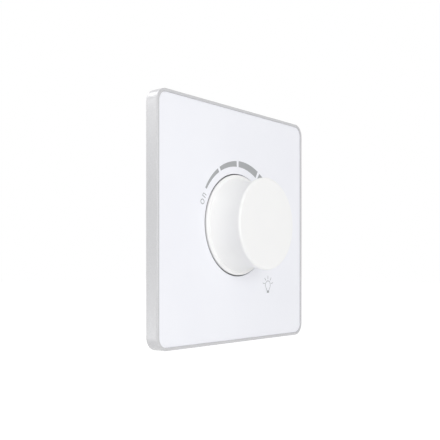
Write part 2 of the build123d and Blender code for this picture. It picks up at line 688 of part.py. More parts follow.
def lead_places():
    """Where leads pass through the board, as X and Z, apart from flat tags."""
    places = []
    for step in (-0.5, 0.5):
        places.append((FILTER_CAP_X, FILTER_CAP_Z + step * FILTER_CAP_LEADS))
        places.append((CHOKE_X + step * 2 * CHOKE_CORE_R, CHOKE_Z))
        places += [(x, TIMING_CAP_Z + step * TIMING_CAP_LEADS) for x in TIMING_CAP_X]
        places += [(x, AXIAL_Z + 2 * step * axial_reach(RESISTOR_LENGTH)) for x in RESISTOR_X]
        places.append((DIAC_X, AXIAL_Z + 2 * step * axial_reach(DIAC_LENGTH)))
    places += [(x, SINK_FACE_Z - TRIAC_THICK / 2) for x in triac_lead_bends()]
    return places


def circuit_board():
    """Board with notched corners, and holes for leads, lugs, tags and terminal pins."""
    side = 2 * (REAR_ROOM_HALF - BOARD_PLAY)
    outline = Rectangle(side, side) - boss_sketch(BOARD_PLAY)
    outline -= [Pos(x, z) * Rectangle(PIN_HOLE, PIN_HOLE) for x, z in lead_places()]
    play = PIN_HOLE - PIN
    for x in (-LUG_PITCH, 0, LUG_PITCH):
        outline -= Pos(x, LUG_Z - LUG_THICK / 2) * Rectangle(LUG_WIDTH + play, LUG_THICK + play)
    leaf_z = -(LEAF_ROOT + TAG_WIDTH / 2)
    outline -= Pos(LEAF_X + LEAF_THICK / 2, leaf_z) * Rectangle(LEAF_THICK + play, TAG_WIDTH + play)
    contact_z = CONTACT_ROOT + TAG_WIDTH / 2
    outline -= Pos(CONTACT_X + CONTACT_THICK / 2, contact_z) * Rectangle(CONTACT_THICK + play,
                                                                       TAG_WIDTH + play)
    for x in terminal_places():
        outline -= Pos(x, CAGE_PIN_Z) * Rectangle(PIN_HOLE, PIN_HOLE)
    return slab(outline, BOARD_BACK, BOARD_FRONT)


def heat_sink():
    """Bent aluminium plate: flange against the top wall, foot on the board, tapped for the screw."""
    foot_front = BOARD_FRONT + SINK_THICK
    foot_end = FRONT_ROOM_HALF - SINK_FOOT
    outline = Polyline(
        (SINK_TOP_GAP, SINK_FACE_Z), (SINK_TOP_GAP, FRONT_ROOM_HALF), (-BOARD_FRONT, FRONT_ROOM_HALF),
        (-BOARD_FRONT, foot_end), (-foot_front, foot_end), (-foot_front, SINK_FACE_Z), close=True)
    body = extrude(Plane.YZ * make_face(outline), amount=SINK_WIDTH / 2, both=True)
    leads_width = SINK_WIDTH / 2 + TRIAC_LEFT
    body -= bar(TRIAC_LEFT - leads_width / 2, SINK_FACE_Z - SINK_FOOT / 2, leads_width, SINK_FOOT,
                BOARD_FRONT - OVERCUT, foot_front + OVERCUT)
    return body - upright(TRIAC_SCREW_R, triac_hole_x(), TRIAC_MID, SINK_FACE_Z - OVERCUT,
                          FRONT_ROOM_HALF + OVERCUT)


def triac_hole_x():
    """Middle of the triac's tab."""
    return TRIAC_LEFT + TRIAC_LENGTH + TRIAC_TAB_LENGTH / 2


def triac_lead_bends():
    """Where the three leads turn down to the board, the one nearest the board first."""
    return [TRIAC_LEFT - TRIAC_LEAD_REACH * (step + 1) for step in range(3)]


def triac():
    """Power semiconductor lying against the heat sink, with its formed leads."""
    mid_x = TRIAC_LEFT + TRIAC_LENGTH / 2
    body = bar(mid_x, SINK_FACE_Z - TRIAC_THICK / 2, TRIAC_LENGTH, TRIAC_THICK, TRIAC_BACK,
               TRIAC_FRONT)
    tab = bar(triac_hole_x(), SINK_FACE_Z - TRIAC_TAB_THICK / 2, TRIAC_TAB_LENGTH, TRIAC_TAB_THICK,
              TRIAC_BACK, TRIAC_FRONT)
    tab -= upright(TRIAC_SCREW_R, triac_hole_x(), TRIAC_MID, SINK_FACE_Z - 2 * TRIAC_TAB_THICK,
                   SINK_FACE_Z + OVERCUT)
    body += tab
    for step, x in enumerate(triac_lead_bends()):
        height = TRIAC_MID + (step - 1) * TRIAC_LEAD_PITCH
        z = SINK_FACE_Z - TRIAC_THICK / 2
        run = TRIAC_LEFT - x + PIN / 2
        body += bar(TRIAC_LEFT - run / 2, z, run, PIN, height - PIN / 2, height + PIN / 2)
        body += pin(x, z, PIN_END, height)
    return body


def triac_screw():
    """Cheese-head screw through the tab into the heat sink."""
    head_top = SINK_FACE_Z - TRIAC_TAB_THICK
    x = triac_hole_x()
    head = upright(TRIAC_SCREW_HEAD_R, x, TRIAC_MID, head_top - TRIAC_SCREW_HEAD, head_top)
    slot = bar(x, head_top - TRIAC_SCREW_HEAD, SCREW_SLOT, TRIAC_SCREW_HEAD,
               TRIAC_MID - TRIAC_SCREW_HEAD_R, TRIAC_MID + TRIAC_SCREW_HEAD_R)
    return head - slot + upright(TRIAC_SCREW_R, x, TRIAC_MID, head_top, FRONT_ROOM_HALF)


def choke_core():
    """Powder ring lying on the board, lifted by the wire below it."""
    low = BOARD_FRONT + CHOKE_WIRE
    return slab(Pos(CHOKE_X, CHOKE_Z) * (Circle(CHOKE_CORE_R) - Circle(CHOKE_BORE_R)), low,
                low + CHOKE_HEIGHT)


def choke_winding():
    """Turns of enamelled wire round the ring, each a closed loop of square section, and two ends."""
    low = BOARD_FRONT
    high = BOARD_FRONT + CHOKE_HEIGHT + 2 * CHOKE_WIRE
    length = CHOKE_CORE_R - CHOKE_BORE_R
    mid_r = (CHOKE_CORE_R + CHOKE_BORE_R) / 2
    outer = slab(Pos(mid_r, 0) * Rectangle(length + 2 * CHOKE_WIRE, CHOKE_WIRE), low, high)
    opening = Rectangle(length + 2 * CHOKE_WIRE_PLAY, 2 * CHOKE_WIRE)
    turn = outer - slab(Pos(mid_r, 0) * opening, low + CHOKE_WIRE, high - CHOKE_WIRE)
    turns = []
    for index in range(CHOKE_TURNS):
        turns.append(Pos(CHOKE_X, 0, CHOKE_Z) * Rotation(0, index * FULL_TURN / CHOKE_TURNS, 0) * turn)
    for step in (-1, 1):
        end = pin(CHOKE_X + step * (CHOKE_CORE_R), CHOKE_Z, PIN_END, BOARD_FRONT)
        turns[(CHOKE_TURNS // 4) * (1 - step)] += end
    return turns


def moulded_capacitor(x, z, width, length, height, lead_spacing):
    """Box capacitor on the board with softened edges and two leads."""
    body = bar(x, z, width, length, BOARD_FRONT, BOARD_FRONT + height)
    body = chamfer(body.edges().filter_by(Axis.Y), CAP_ROUND)
    for step in (-0.5, 0.5):
        body += pin(x, z + step * lead_spacing, PIN_END, BOARD_FRONT)
    return body


def filter_capacitor():
    """Mains filter capacitor beside the potentiometer."""
    return moulded_capacitor(FILTER_CAP_X, FILTER_CAP_Z, FILTER_CAP_WIDTH, FILTER_CAP_LENGTH,
                             FILTER_CAP_HEIGHT, FILTER_CAP_LEADS)


def timing_capacitors():
    """Two small film capacitors."""
    return [moulded_capacitor(x, TIMING_CAP_Z, TIMING_CAP_WIDTH, TIMING_CAP_LENGTH, TIMING_CAP_HEIGHT,
                              TIMING_CAP_LEADS) for x in TIMING_CAP_X]


def axial_reach(length):
    """From the middle of an axial part to where its lead turns down."""
    return length / 2 + AXIAL_LEAD_REACH


def axial_part(x, radius, length):
    """A round part lying on the board, its leads bent down through it."""
    height = BOARD_FRONT + radius
    body = upright(radius, x, height, AXIAL_Z - length / 2, AXIAL_Z + length / 2)
    reach = axial_reach(length)
    lead = 2 * reach + PIN
    body += bar(x, AXIAL_Z, PIN, lead, height - PIN / 2, height + PIN / 2)
    for side in (-1, 1):
        body += pin(x, AXIAL_Z + side * reach, PIN_END, height)
    return body


def resistors():
    """Three resistors side by side."""
    return [axial_part(x, RESISTOR_R, RESISTOR_LENGTH) for x in RESISTOR_X]


def diac():
    """Small glass trigger diode."""
    return axial_part(DIAC_X, DIAC_R, DIAC_LENGTH)


def fuse_tube():
    """Glass tube of the fuse."""
    half = FUSE_LENGTH / 2 - FUSE_CLIP_THICK
    return upright(FUSE_TUBE_R, FUSE_X, FUSE_HEIGHT, FUSE_Z - half, FUSE_Z + half)


def fuse_caps():
    """The fuse's two end caps."""
    caps = []
    for side in (-1, 1):
        outer_end = FUSE_Z + side * FUSE_LENGTH / 2
        inner_end = outer_end - side * FUSE_CAP_LENGTH
        low, high = sorted((outer_end, inner_end))
        caps.append(upright(FUSE_CAP_R, FUSE_X, FUSE_HEIGHT, low, high) - fuse_tube())
    return caps


def fuse_clips():
    """Two sprung clips on the board, open towards the room."""
    ring = open_ring(FUSE_CAP_R, FUSE_CAP_R + FUSE_CLIP_THICK, FUSE_CLIP_OPEN_ANGLE)
    foot_top = FUSE_LIFT - FUSE_CAP_R
    foot = Pos(0, FUSE_LIFT - foot_top / 2) * Rectangle(FUSE_CLIP_FOOT, foot_top) - Circle(FUSE_CAP_R)
    clips = []
    for side in (-1, 1):
        z = FUSE_Z + side * (FUSE_LENGTH - FUSE_CAP_LENGTH) / 2 - FUSE_CLIP_WIDTH / 2
        clips.append(extrude(Plane((FUSE_X, -FUSE_HEIGHT, z)) * (ring + foot), amount=FUSE_CLIP_WIDTH))
    return clips


def terminal_places():
    """The two terminals' X."""
    return (-TERMINAL_PITCH / 2, TERMINAL_PITCH / 2)


def terminal_block():
    """Moulded block behind the board with a pocket for each cage and a sleeve for each screw."""
    middle = (TERMINAL_BLOCK_LOW + TERMINAL_BLOCK_TOP) / 2
    body = bar(0, middle, TERMINAL_BLOCK_WIDTH, TERMINAL_BLOCK_HEIGHT, TERMINAL_BACK, BOARD_BACK)
    cage_mid = (CAGE_LOW + CAGE_TOP) / 2
    for x in terminal_places():
        body -= bar(x, cage_mid, CAGE_WIDTH, CAGE_TOP - CAGE_LOW, TERMINAL_BACK - OVERCUT, CAGE_FRONT)
        body -= upright(SCREW_ACCESS_R, x, CAGE_MID, CAGE_TOP - OVERCUT, TERMINAL_BLOCK_TOP + OVERCUT)
        body -= pin(x, CAGE_PIN_Z, CAGE_FRONT - OVERCUT, BOARD_BACK + OVERCUT, PIN_HOLE)
    return body


def terminal_cages():
    """Two brass cages: a square way for the wire, a tapped roof for the screw, and a pin to the board."""
    cages = []
    for x in terminal_places():
        cage = bar(x, (CAGE_LOW + CAGE_TOP) / 2, CAGE_WIDTH, CAGE_TOP - CAGE_LOW, CAGE_BACK, CAGE_FRONT)
        cage -= bar(x, WIRE_Z, CAGE_INSIDE, CAGE_INSIDE, CAGE_BACK - OVERCUT, CAGE_FRONT + OVERCUT)
        cage -= upright(TERMINAL_SCREW_R, x, CAGE_MID, WIRE_Z, CAGE_TOP + OVERCUT)
        pin_low = CAGE_FRONT - TERMINAL_FLOOR
        cage += pin(x, CAGE_PIN_Z, pin_low, BOARD_FRONT + PIN_PROUD)
        cages.append(cage)
    return cages


def terminal_screws():
    """Two slotted screws, open and ready for a wire."""
    screws = []
    seat = CAGE_TOP + TERMINAL_SCREW_LIFT
    tip = WIRE_Z + CAGE_INSIDE / 2 + TERMINAL_SCREW_TIP
    for x in terminal_places():
        head = upright(TERMINAL_SCREW_HEAD_R, x, CAGE_MID, seat, seat + TERMINAL_SCREW_HEAD)
        slot = bar(x, seat + TERMINAL_SCREW_HEAD, SCREW_SLOT, TERMINAL_SCREW_HEAD,
                   CAGE_MID - TERMINAL_SCREW_HEAD_R, CAGE_MID + TERMINAL_SCREW_HEAD_R)
        screws.append(head - slot + upright(TERMINAL_SCREW_R, x, CAGE_MID, tip, seat))
    return screws


PIECES = {
    "cover_frame": cover_frame, "face_panel": face_panel, "knob": knob, "knob_clip": knob_clip,
    "base_moulding": base_moulding, "rear_cover": rear_cover, "rear_screws": rear_screws,
    "pot_bushing": pot_bushing, "pot_washer": pot_washer, "pot_nut": pot_nut,
    "resistive_wafer": resistive_wafer, "pot_lugs": pot_lugs, "pot_can": pot_can,
    "pot_shaft": pot_shaft, "shaft_ring": shaft_ring, "pot_rotor": pot_rotor, "wiper": wiper,
    "switch_housing": switch_housing, "switch_leaf": switch_leaf, "switch_contact": switch_contact,
    "switch_cam": switch_cam, "circuit_board": circuit_board, "heat_sink": heat_sink, "triac": triac,
    "triac_screw": triac_screw, "choke_core": choke_core, "choke_winding": choke_winding,
    "filter_capacitor": filter_capacitor, "timing_capacitors": timing_capacitors,
    "resistors": resistors, "diac": diac, "fuse_tube": fuse_tube, "fuse_caps": fuse_caps,
    "fuse_clips": fuse_clips, "terminal_block": terminal_block, "terminal_cages": terminal_cages,
    "terminal_screws": terminal_screws,
}

os.makedirs("parts", exist_ok=True)
for name, make in PIECES.items():
    made = make()
    solids = []
    for piece in made if isinstance(made, list) else [made]:
        solids += piece.solids()
    export_step(Compound(label=name, children=solids), f"parts/{name}.step")
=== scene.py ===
# %% [markdown]
# # A rotary wall dimmer, dressed for its picture
# The solid model gives every piece at its real size and place. This notebook adds what a solid can't say:
# the softness of moulded edges, the ink of the scale, and how lacquer, plastic, brass and board look. The
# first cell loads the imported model, and everything later is measured from it.

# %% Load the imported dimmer
from math import atan, pi, radians, tan

import bpy
import numpy as np
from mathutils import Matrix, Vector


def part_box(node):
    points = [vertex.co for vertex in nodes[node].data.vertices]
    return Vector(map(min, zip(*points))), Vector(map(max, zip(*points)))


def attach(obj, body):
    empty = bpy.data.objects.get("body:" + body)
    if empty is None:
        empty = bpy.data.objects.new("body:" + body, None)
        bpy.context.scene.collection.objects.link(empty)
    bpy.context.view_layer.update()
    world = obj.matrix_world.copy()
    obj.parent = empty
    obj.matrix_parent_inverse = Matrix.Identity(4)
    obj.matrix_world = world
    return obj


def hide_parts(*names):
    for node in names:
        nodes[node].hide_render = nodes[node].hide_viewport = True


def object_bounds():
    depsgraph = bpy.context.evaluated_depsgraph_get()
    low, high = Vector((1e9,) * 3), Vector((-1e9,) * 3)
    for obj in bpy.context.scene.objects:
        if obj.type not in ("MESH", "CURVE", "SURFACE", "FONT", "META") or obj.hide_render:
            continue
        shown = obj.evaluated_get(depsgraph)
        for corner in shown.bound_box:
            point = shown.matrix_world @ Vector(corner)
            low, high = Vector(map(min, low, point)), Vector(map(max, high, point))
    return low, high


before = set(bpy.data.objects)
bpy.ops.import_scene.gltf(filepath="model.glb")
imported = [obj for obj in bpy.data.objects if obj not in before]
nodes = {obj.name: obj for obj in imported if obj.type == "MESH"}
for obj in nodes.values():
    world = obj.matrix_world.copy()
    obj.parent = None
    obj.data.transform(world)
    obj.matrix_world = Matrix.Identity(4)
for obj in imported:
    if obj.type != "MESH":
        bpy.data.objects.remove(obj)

cad_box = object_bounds()
print("pieces in the packed model:", len(nodes))

# %% [markdown]
# Blender counts in metres and a dimmer is easier to think about in millimetres, so lengths are written in
# millimetres and turned once. Colours are written as the hex codes of a screen, but shaders work with
# light, so one function undoes the screen's curve.

# %% Millimetres and colours
MM = 0.001


def linear(hex_code, alpha=1.0):
    """The light that a screen shows for a hex colour: the sRGB curve undone for each channel."""
    screen = np.array([int(hex_code[i:i + 2], 16) for i in (0, 2, 4)]) / 255
    light = np.where(screen <= 0.04045, screen / 12.92, ((screen + 0.055) / 1.055) ** 2.4)
    return (*light.tolist(), alpha)


print("paper white as light:", [round(c, 3) for c in linear("F3F5F9")])

# %% [markdown]
# The picture was taken from the left, a little below the middle of the plate, with the camera level: all
# upright edges stay upright. Looking up or down would make them lean, so the lens is shifted instead, as on
# a view camera. The place could be found by trying. It was worked out instead, from the plate's four
# corners, which must fall on a true square.

# %% Camera
PLATE_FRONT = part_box("cover_frame")[0].y / MM
CAMERA_AT = (-211.0, PLATE_FRONT - 162.1, -16.2)
CAMERA_TURN = -51.0
CAMERA_LENS = 59.2
CAMERA_RISE = 0.112
NEAREST_SEEN = 10

camera_data = bpy.data.cameras.new("photo_camera")
camera_data.lens = CAMERA_LENS
camera_data.shift_y = CAMERA_RISE
camera_data.clip_start = NEAREST_SEEN * MM
camera = bpy.data.objects.new("photo_camera", camera_data)
camera.location = [c * MM for c in CAMERA_AT]
camera.rotation_euler = (radians(90), 0, radians(CAMERA_TURN))
bpy.context.scene.collection.objects.link(camera)
bpy.context.scene.camera = camera
print("camera at", [round(c) for c in CAMERA_AT], "mm, lens", CAMERA_LENS, "mm")

# %% [markdown]
# Every new piece here is a grid: rows that go round a section, and columns that go round the knob's axis. A
# grid closes on itself like a tyre, or ends in two poles like a bottle. One function turns a grid into
# faces, and one adds up the little pyramids between the faces and the origin: their sum is the volume, and
# its sign tells whether the faces point outwards, so that no piece is left inside out. The pieces could be
# extruded and bevelled by hand too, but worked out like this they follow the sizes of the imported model.

# %% Grids into meshes
def closed_grid(points, poles=()):
    """Faces of a grid of points (rows, columns, 3). Columns wrap round. Rows wrap too, unless two poles
    are given: then a fan of triangles joins the first row to the first pole and the last to the second."""
    rows, columns = points.shape[:2]
    index = np.arange(rows * columns).reshape(rows, columns)
    beside = np.roll(index, -1, axis=1)
    below, below_beside = np.roll(index, -1, axis=0), np.roll(beside, -1, axis=0)
    quads = np.stack([index, beside, below_beside, below], axis=-1)
    quads = quads[:-1] if len(poles) else quads
    faces = quads.reshape(-1, 4).tolist()
    corners = points.reshape(-1, 3)
    if len(poles):
        first, last = len(corners), len(corners) + 1
        faces += np.stack([np.full(columns, first), beside[0], index[0]], axis=-1).tolist()
        faces += np.stack([np.full(columns, last), index[-1], beside[-1]], axis=-1).tolist()
        corners = np.vstack([corners, poles])
    return corners, faces


def join_shapes(*shapes):
    """Several point and face lists as one, each list's numbers moved on by the points before it."""
    corners, faces, count = [], [], 0
    for shape_corners, shape_faces in shapes:
        corners.append(shape_corners)
        faces += [[count + number for number in face] for face in shape_faces]
        count += len(shape_corners)
    return np.vstack(corners), faces


def volume_of(corners, faces):
    """Signed volume: each face is cut into triangles, and a third of each triple product is summed."""
    triangles = np.array([(face[0], *face[k:k + 2]) for face in faces for k in range(1, len(face) - 1)])
    a, b, c = (corners[triangles[:, k]] for k in range(3))
    return np.einsum("ij,ij->i", a, np.cross(b, c)).sum() / 6


def outward(shape):
    """The same shape, its faces turned round if its volume came out negative."""
    corners, faces = shape
    return (corners, faces) if volume_of(corners, faces) > 0 else (corners, [face[::-1] for face in faces])


SMOOTH_ANGLE = 32.0


def make_piece(name, shape, body):
    """A mesh object in millimetres turned to metres, its faces outward, riding on a body."""
    corners, faces = outward(shape)
    mesh = bpy.data.meshes.new(name)
    mesh.from_pydata((corners * MM).tolist(), [], faces)
    mesh.shade_smooth()
    mesh.set_sharp_from_angle(angle=radians(SMOOTH_ANGLE))
    piece = bpy.data.objects.new(name, mesh)
    bpy.context.scene.collection.objects.link(piece)
    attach(piece, body)
    print(name, "faces", len(faces), "volume", round(volume_of(corners, faces)), "mm3")
    return piece


print("grid tools ready")

# %% [markdown]
# A moulded edge is never sharp. A section is drawn as a few corners with a radius each, and this cell turns
# each corner into an arc that touches both of its straight runs. A Bevel modifier could do it with one
# radius for a whole piece; here each corner has its own. Beside each arc one more point is left on the run:
# smooth shading bends only between the arc and that point, so large flat faces stay flat to the eye.

# %% Rounded sections
ARC_STEPS = 7
REST_SHARE = 0.12


def unit(vector):
    """A vector of length one."""
    return vector / np.linalg.norm(vector)


def bend(before, corner, after, radius):
    """Points of an arc in a corner. Its centre lies on the line that halves the corner, and its points are
    the two touching spokes mixed so that the angle between neighbours is even."""
    if radius == 0:
        return np.array([corner])
    back, on = unit(before - corner), unit(after - corner)
    half = np.arccos(np.clip(back @ on, -1, 1)) / 2
    reach = radius / tan(half)
    centre = corner + unit(back + on) * radius / np.sin(half)
    spokes = corner + back * reach - centre, corner + on * reach - centre
    turn = pi - 2 * half
    share = np.linspace(0, 1, ARC_STEPS)[:, None]
    arc = centre + (np.sin((1 - share) * turn) * spokes[0] + np.sin(share * turn) * spokes[1]) / np.sin(turn)
    rest = radius * REST_SHARE
    return np.vstack([arc[0] + back * rest, arc, arc[-1] + on * rest])


def rounded_section(corners, radii):
    """A closed outline of (across, height) points, each corner bent by its own radius."""
    corners = np.array(corners, float)
    before, after = np.roll(corners, 1, axis=0), np.roll(corners, -1, axis=0)
    return np.vstack([bend(*run) for run in zip(before, corners, after, radii)])


print("points in one bend:", ARC_STEPS + 2)

# %% [markdown]
# The plate is a square with round corners. Its ring of points is worked out once for one side and one
# corner, as complex numbers, because multiplying by i turns a point by a quarter. Along a side the points
# are even in angle, so that the same directions also make an even circle for the knob's hole.

# %% Rings round the plate
SIDE_STEPS = 48
CORNER_STEPS = 16


def square_ring(half, corner_r):
    """Complex points round a rounded square. Side: half + i half tan(angle). Corner: its centre plus a
    quarter arc. The other three quarters are the first one turned."""
    straight = half - corner_r
    reach = atan(straight / half)
    side = half + 1j * half * np.tan(np.linspace(-reach, reach, SIDE_STEPS))
    arc = np.linspace(0, pi / 2, CORNER_STEPS + 2)[1:-1]
    quarter = np.concatenate([side, straight * (1 + 1j) + corner_r * np.exp(1j * arc)])
    return (quarter * 1j ** np.arange(4)[:, None]).ravel()


def stand_up(plane_points, heights):
    """Complex rows in the plate's plane and their heights as points: x right, z up, height towards -y."""
    heights = np.broadcast_to(np.asarray(heights)[:, None], plane_points.shape)
    return np.stack([plane_points.real, -heights, plane_points.imag], axis=-1)


print("columns round the plate:", 4 * (SIDE_STEPS + CORNER_STEPS))

# %% [markdown]
# ## Surround
# The surround is a thin satin frame with a rim one millimetre wide round the panel, and a ledge behind it
# that carries the panel. A box with a bevel and a cut-out could stand for it. A section swept round the
# plate gives the rim, the ledge and the inner wall at once, with no seam. The corner's radius shrinks as
# the section moves inwards, as parallel curves do.

# %% Surround
PLATE_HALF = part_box("cover_frame")[1].x / MM
FRAME_DEPTH = -PLATE_FRONT
PANEL_BACK = -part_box("face_panel")[1].y / MM
PANEL_FRONT = -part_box("face_panel")[0].y / MM
PLATE_CORNER_R = 4.6
RIM_WIDTH = 1.08
RIM_R = 0.35
RIM_INNER_R = 0.06
SEAT_R = 0.1
EASE_R = 0.2
WALL = 1.8
LEDGE_INSET = 5.1
LEDGE_CORNER_R = 1.5
LEDGE_THICK = 1.0

ledge_back = PANEL_BACK - LEDGE_THICK
frame_section = rounded_section(
    [(0, 0), (0, FRAME_DEPTH), (RIM_WIDTH, FRAME_DEPTH), (RIM_WIDTH, PANEL_BACK), (LEDGE_INSET, PANEL_BACK),
     (LEDGE_INSET, ledge_back), (WALL, ledge_back), (WALL, 0)],
    [EASE_R, RIM_R, RIM_INNER_R, SEAT_R, EASE_R, EASE_R, EASE_R, EASE_R])
corner_radii = np.interp(frame_section[:, 0], [0, WALL, LEDGE_INSET],
                         [PLATE_CORNER_R, PLATE_CORNER_R - WALL, LEDGE_CORNER_R])
frame_rings = np.array([square_ring(PLATE_HALF - inset, r)
                        for inset, r in zip(frame_section[:, 0], corner_radii)])
frame_shape = outward(closed_grid(stand_up(frame_rings, frame_section[:, 1])))
print("section points:", len(frame_section))

# %% [markdown]
# Four hooks on the ledge snap over the edge of the base and hold the surround on it. Each is a prism: an
# outline with a barb, repeated at both ends of its width. Joining them to the ledge with a boolean would
# leave untidy faces, so each is set a tenth of a millimetre into it.

# %% Hooks and the finished surround
HOOK_X = 22.0
HOOK_HALF_WIDTH = 4.0
DECK_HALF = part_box("base_moulding")[1].x / MM
HOOK_GAP = 0.15
HOOK_THICK = 1.0
HOOK_BARB = 0.85
BARB_HEIGHT = 0.9
HOOK_ROOT = 0.1


def hook_shape(x_mid, side):
    """One hook: an outline in the plane of height and z, repeated at both ends of its width."""
    near, far, root = DECK_HALF + HOOK_GAP, DECK_HALF + HOOK_GAP + HOOK_THICK, ledge_back + HOOK_ROOT
    outline = np.array([(root, far), (HOOK_GAP, far), (HOOK_GAP, near),
                        (BARB_HEIGHT, near - HOOK_BARB), (BARB_HEIGHT, near), (root, near)])
    ends = [np.column_stack([np.full(len(outline), x), -outline[:, 0], side * outline[:, 1]])
            for x in (x_mid - HOOK_HALF_WIDTH, x_mid + HOOK_HALF_WIDTH)]
    count = len(outline)
    around = np.arange(count)
    walls = np.stack([around, np.roll(around, -1), np.roll(around, -1) + count, around + count], axis=-1)
    return outward((np.vstack(ends), walls.tolist() + [around[::-1].tolist(), (around + count).tolist()]))


hooks = [hook_shape(x, side) for x in (-HOOK_X, HOOK_X) for side in (-1, 1)]
surround = make_piece("surround", join_shapes(frame_shape, *hooks), "housing")
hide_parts("cover_frame")

# %% [markdown]
# ## Panel
# The white panel lies in the surround, three tenths of a millimetre below its rim. A boolean could cut its
# round hole, but that leaves long thin faces, which shade badly. Here one grid turns from the hole into the
# square: each ring is a mix of a circle and a rounded square of the same half width, all circle at the hole
# and all square at the outline.

# %% Panel
PANEL_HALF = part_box("face_panel")[1].x / MM
PANEL_CORNER_R = 3.5
HOLE_R = 18.8
PANEL_EDGE_R = 0.06
HOLE_EDGE_R = 0.15
MORPH_STEPS = 8

across = np.linspace(HOLE_R, PANEL_HALF, MORPH_STEPS + 2)[1:-1]
front_run = [(x, PANEL_FRONT) for x in across]
back_run = [(x, PANEL_BACK) for x in across[::-1]]
panel_section = rounded_section(
    [(HOLE_R, PANEL_BACK), (HOLE_R, PANEL_FRONT), *front_run, (PANEL_HALF, PANEL_FRONT),
     (PANEL_HALF, PANEL_BACK), *back_run],
    [SEAT_R, HOLE_EDGE_R, *[0] * MORPH_STEPS, PANEL_EDGE_R, SEAT_R, *[0] * MORPH_STEPS])
directions = square_ring(PANEL_HALF, PANEL_CORNER_R)
directions = directions / np.abs(directions)
squareness = np.clip(np.interp(panel_section[:, 0], [across[0], across[-1]], [0, 1]), 0, 1)[:, None]
circles = panel_section[:, :1] * directions
squares = np.array([square_ring(half, PANEL_CORNER_R) for half in panel_section[:, 0]])
panel_rings = (1 - squareness) * circles + squareness * squares
panel = make_piece("panel", closed_grid(stand_up(panel_rings, panel_section[:, 1])), "housing")
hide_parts("face_panel")

# %% [markdown]
# ## Knob
# The knob is one hollow moulding: a lip that turns in the panel's hole, a waist that the fingers find, a
# flat face, and inside it a hub with a D-shaped socket. All of it is one lathe section, from the middle of
# the face over the outside, in under the lip, up the cavity, down the hub and into the socket. A Screw
# modifier could turn such a section. The grid is worked out instead because the socket isn't round: there
# the radius is cut short wherever it would reach past the flat. Each corner is written as radius, height
# and bend.

# %% Knob section
KNOB_FACE = -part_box("knob")[0].y / MM
LIP_BACK = -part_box("knob")[1].y / MM
LIP_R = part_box("knob")[1].x / MM
LIP_THICK = 1.5
LIP_ROUND = 0.6
FACE_R = 16.6
FACE_FLARE = 0.1
WAIST_R = 15.5
WAIST_STEPS = 22
FOOT_R = 17.1
FOOT_RUN = 0.5
EDGE_R = 0.8
KNOB_WALL = 1.6
DRAFT = 0.3
ROOF = 2.0
ROOF_R = 0.4
HUB_R = 5.2
HUB_ROOT_R = 0.3
HUB_END = 7.0
SHAFT_R = 3.0
SHAFT_FLAT = 1.5
SOCKET_END = 14.6

LIP_FRONT = LIP_BACK + LIP_THICK
middle = (LIP_FRONT + KNOB_FACE) / 2
side_heights = np.linspace(KNOB_FACE - 2 * EDGE_R, LIP_FRONT + FOOT_RUN, WAIST_STEPS)
waist_curve = np.polyfit([LIP_FRONT, middle, KNOB_FACE - EDGE_R], [FOOT_R, WAIST_R, FACE_R], 2)
side_radii = np.polyval(waist_curve, side_heights)
roof = KNOB_FACE - ROOF
knob_corners = np.array([
    (0, KNOB_FACE, 0), (FACE_R + FACE_FLARE, KNOB_FACE, EDGE_R),
    *zip(side_radii, side_heights, np.zeros(WAIST_STEPS)),
    (FOOT_R, LIP_FRONT, EASE_R), (LIP_R, LIP_FRONT, LIP_ROUND), (LIP_R, LIP_BACK, LIP_ROUND),
    (FOOT_R - KNOB_WALL, LIP_BACK, EASE_R), (WAIST_R - KNOB_WALL, middle, 0),
    (WAIST_R - KNOB_WALL - DRAFT, roof, ROOF_R), (HUB_R, roof, HUB_ROOT_R), (HUB_R, HUB_END, EASE_R),
    (SHAFT_R, HUB_END, SEAT_R), (SHAFT_R, SOCKET_END, 0), (0, SOCKET_END, 0)])
knob_section = rounded_section(knob_corners[:, :2], knob_corners[:, 2])[1:-1]
print("knob", round(KNOB_FACE - PANEL_FRONT, 1), "mm proud, section points", len(knob_section))

# %% [markdown]
# Six ribs under the roof tie the hub to the wall, so that a thin moulding takes the turn of a hand. They
# are plain plates, set into hub, wall and roof a little way.

# %% Knob
KNOB_COLUMNS = 240
SOCKET_NEAR = 0.01
RIB_COUNT = 6
RIB_THICK = 1.1
RIB_LOW = 10.9
RIB_ROOT = 0.2

turn = np.linspace(0, 2 * pi, KNOB_COLUMNS, endpoint=False)
flat_r = SHAFT_FLAT / np.maximum(np.sin(turn), SHAFT_FLAT / SHAFT_R)
in_socket = (knob_section[:, :1] <= SHAFT_R + SOCKET_NEAR) & (knob_section[:, 1:] < SOCKET_END + SOCKET_NEAR)
ring_radii = np.where(in_socket, flat_r, knob_section[:, :1])
knob_points = stand_up(ring_radii * np.exp(1j * turn), knob_section[:, 1])
knob_body = outward(closed_grid(knob_points, poles=[(0, -KNOB_FACE, 0), (0, -SOCKET_END, 0)]))


def rib_shape(angle):
    """A plate between hub and wall under the roof: a box whose corners are turned about the axis."""
    along = np.array([HUB_R - RIB_ROOT, WAIST_R - KNOB_WALL + RIB_ROOT])
    wide = np.array([-0.5, 0.5]) * RIB_THICK
    corners = (along[[0, 1, 1, 0]] + 1j * wide[[0, 0, 1, 1]]) * np.exp(1j * angle)
    rows = stand_up(np.array([corners, corners]), [RIB_LOW, roof + RIB_ROOT]).reshape(-1, 3)
    sides = [[k, (k + 1) % 4, (k + 1) % 4 + 4, k + 4] for k in range(4)]
    return outward((rows, sides + [[3, 2, 1, 0], [4, 5, 6, 7]]))


ribs = [rib_shape((k + 0.5) * 2 * pi / RIB_COUNT) for k in range(RIB_COUNT)]
grip = make_piece("knob_moulding", join_shapes(knob_body, *ribs), "dial")
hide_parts("knob")

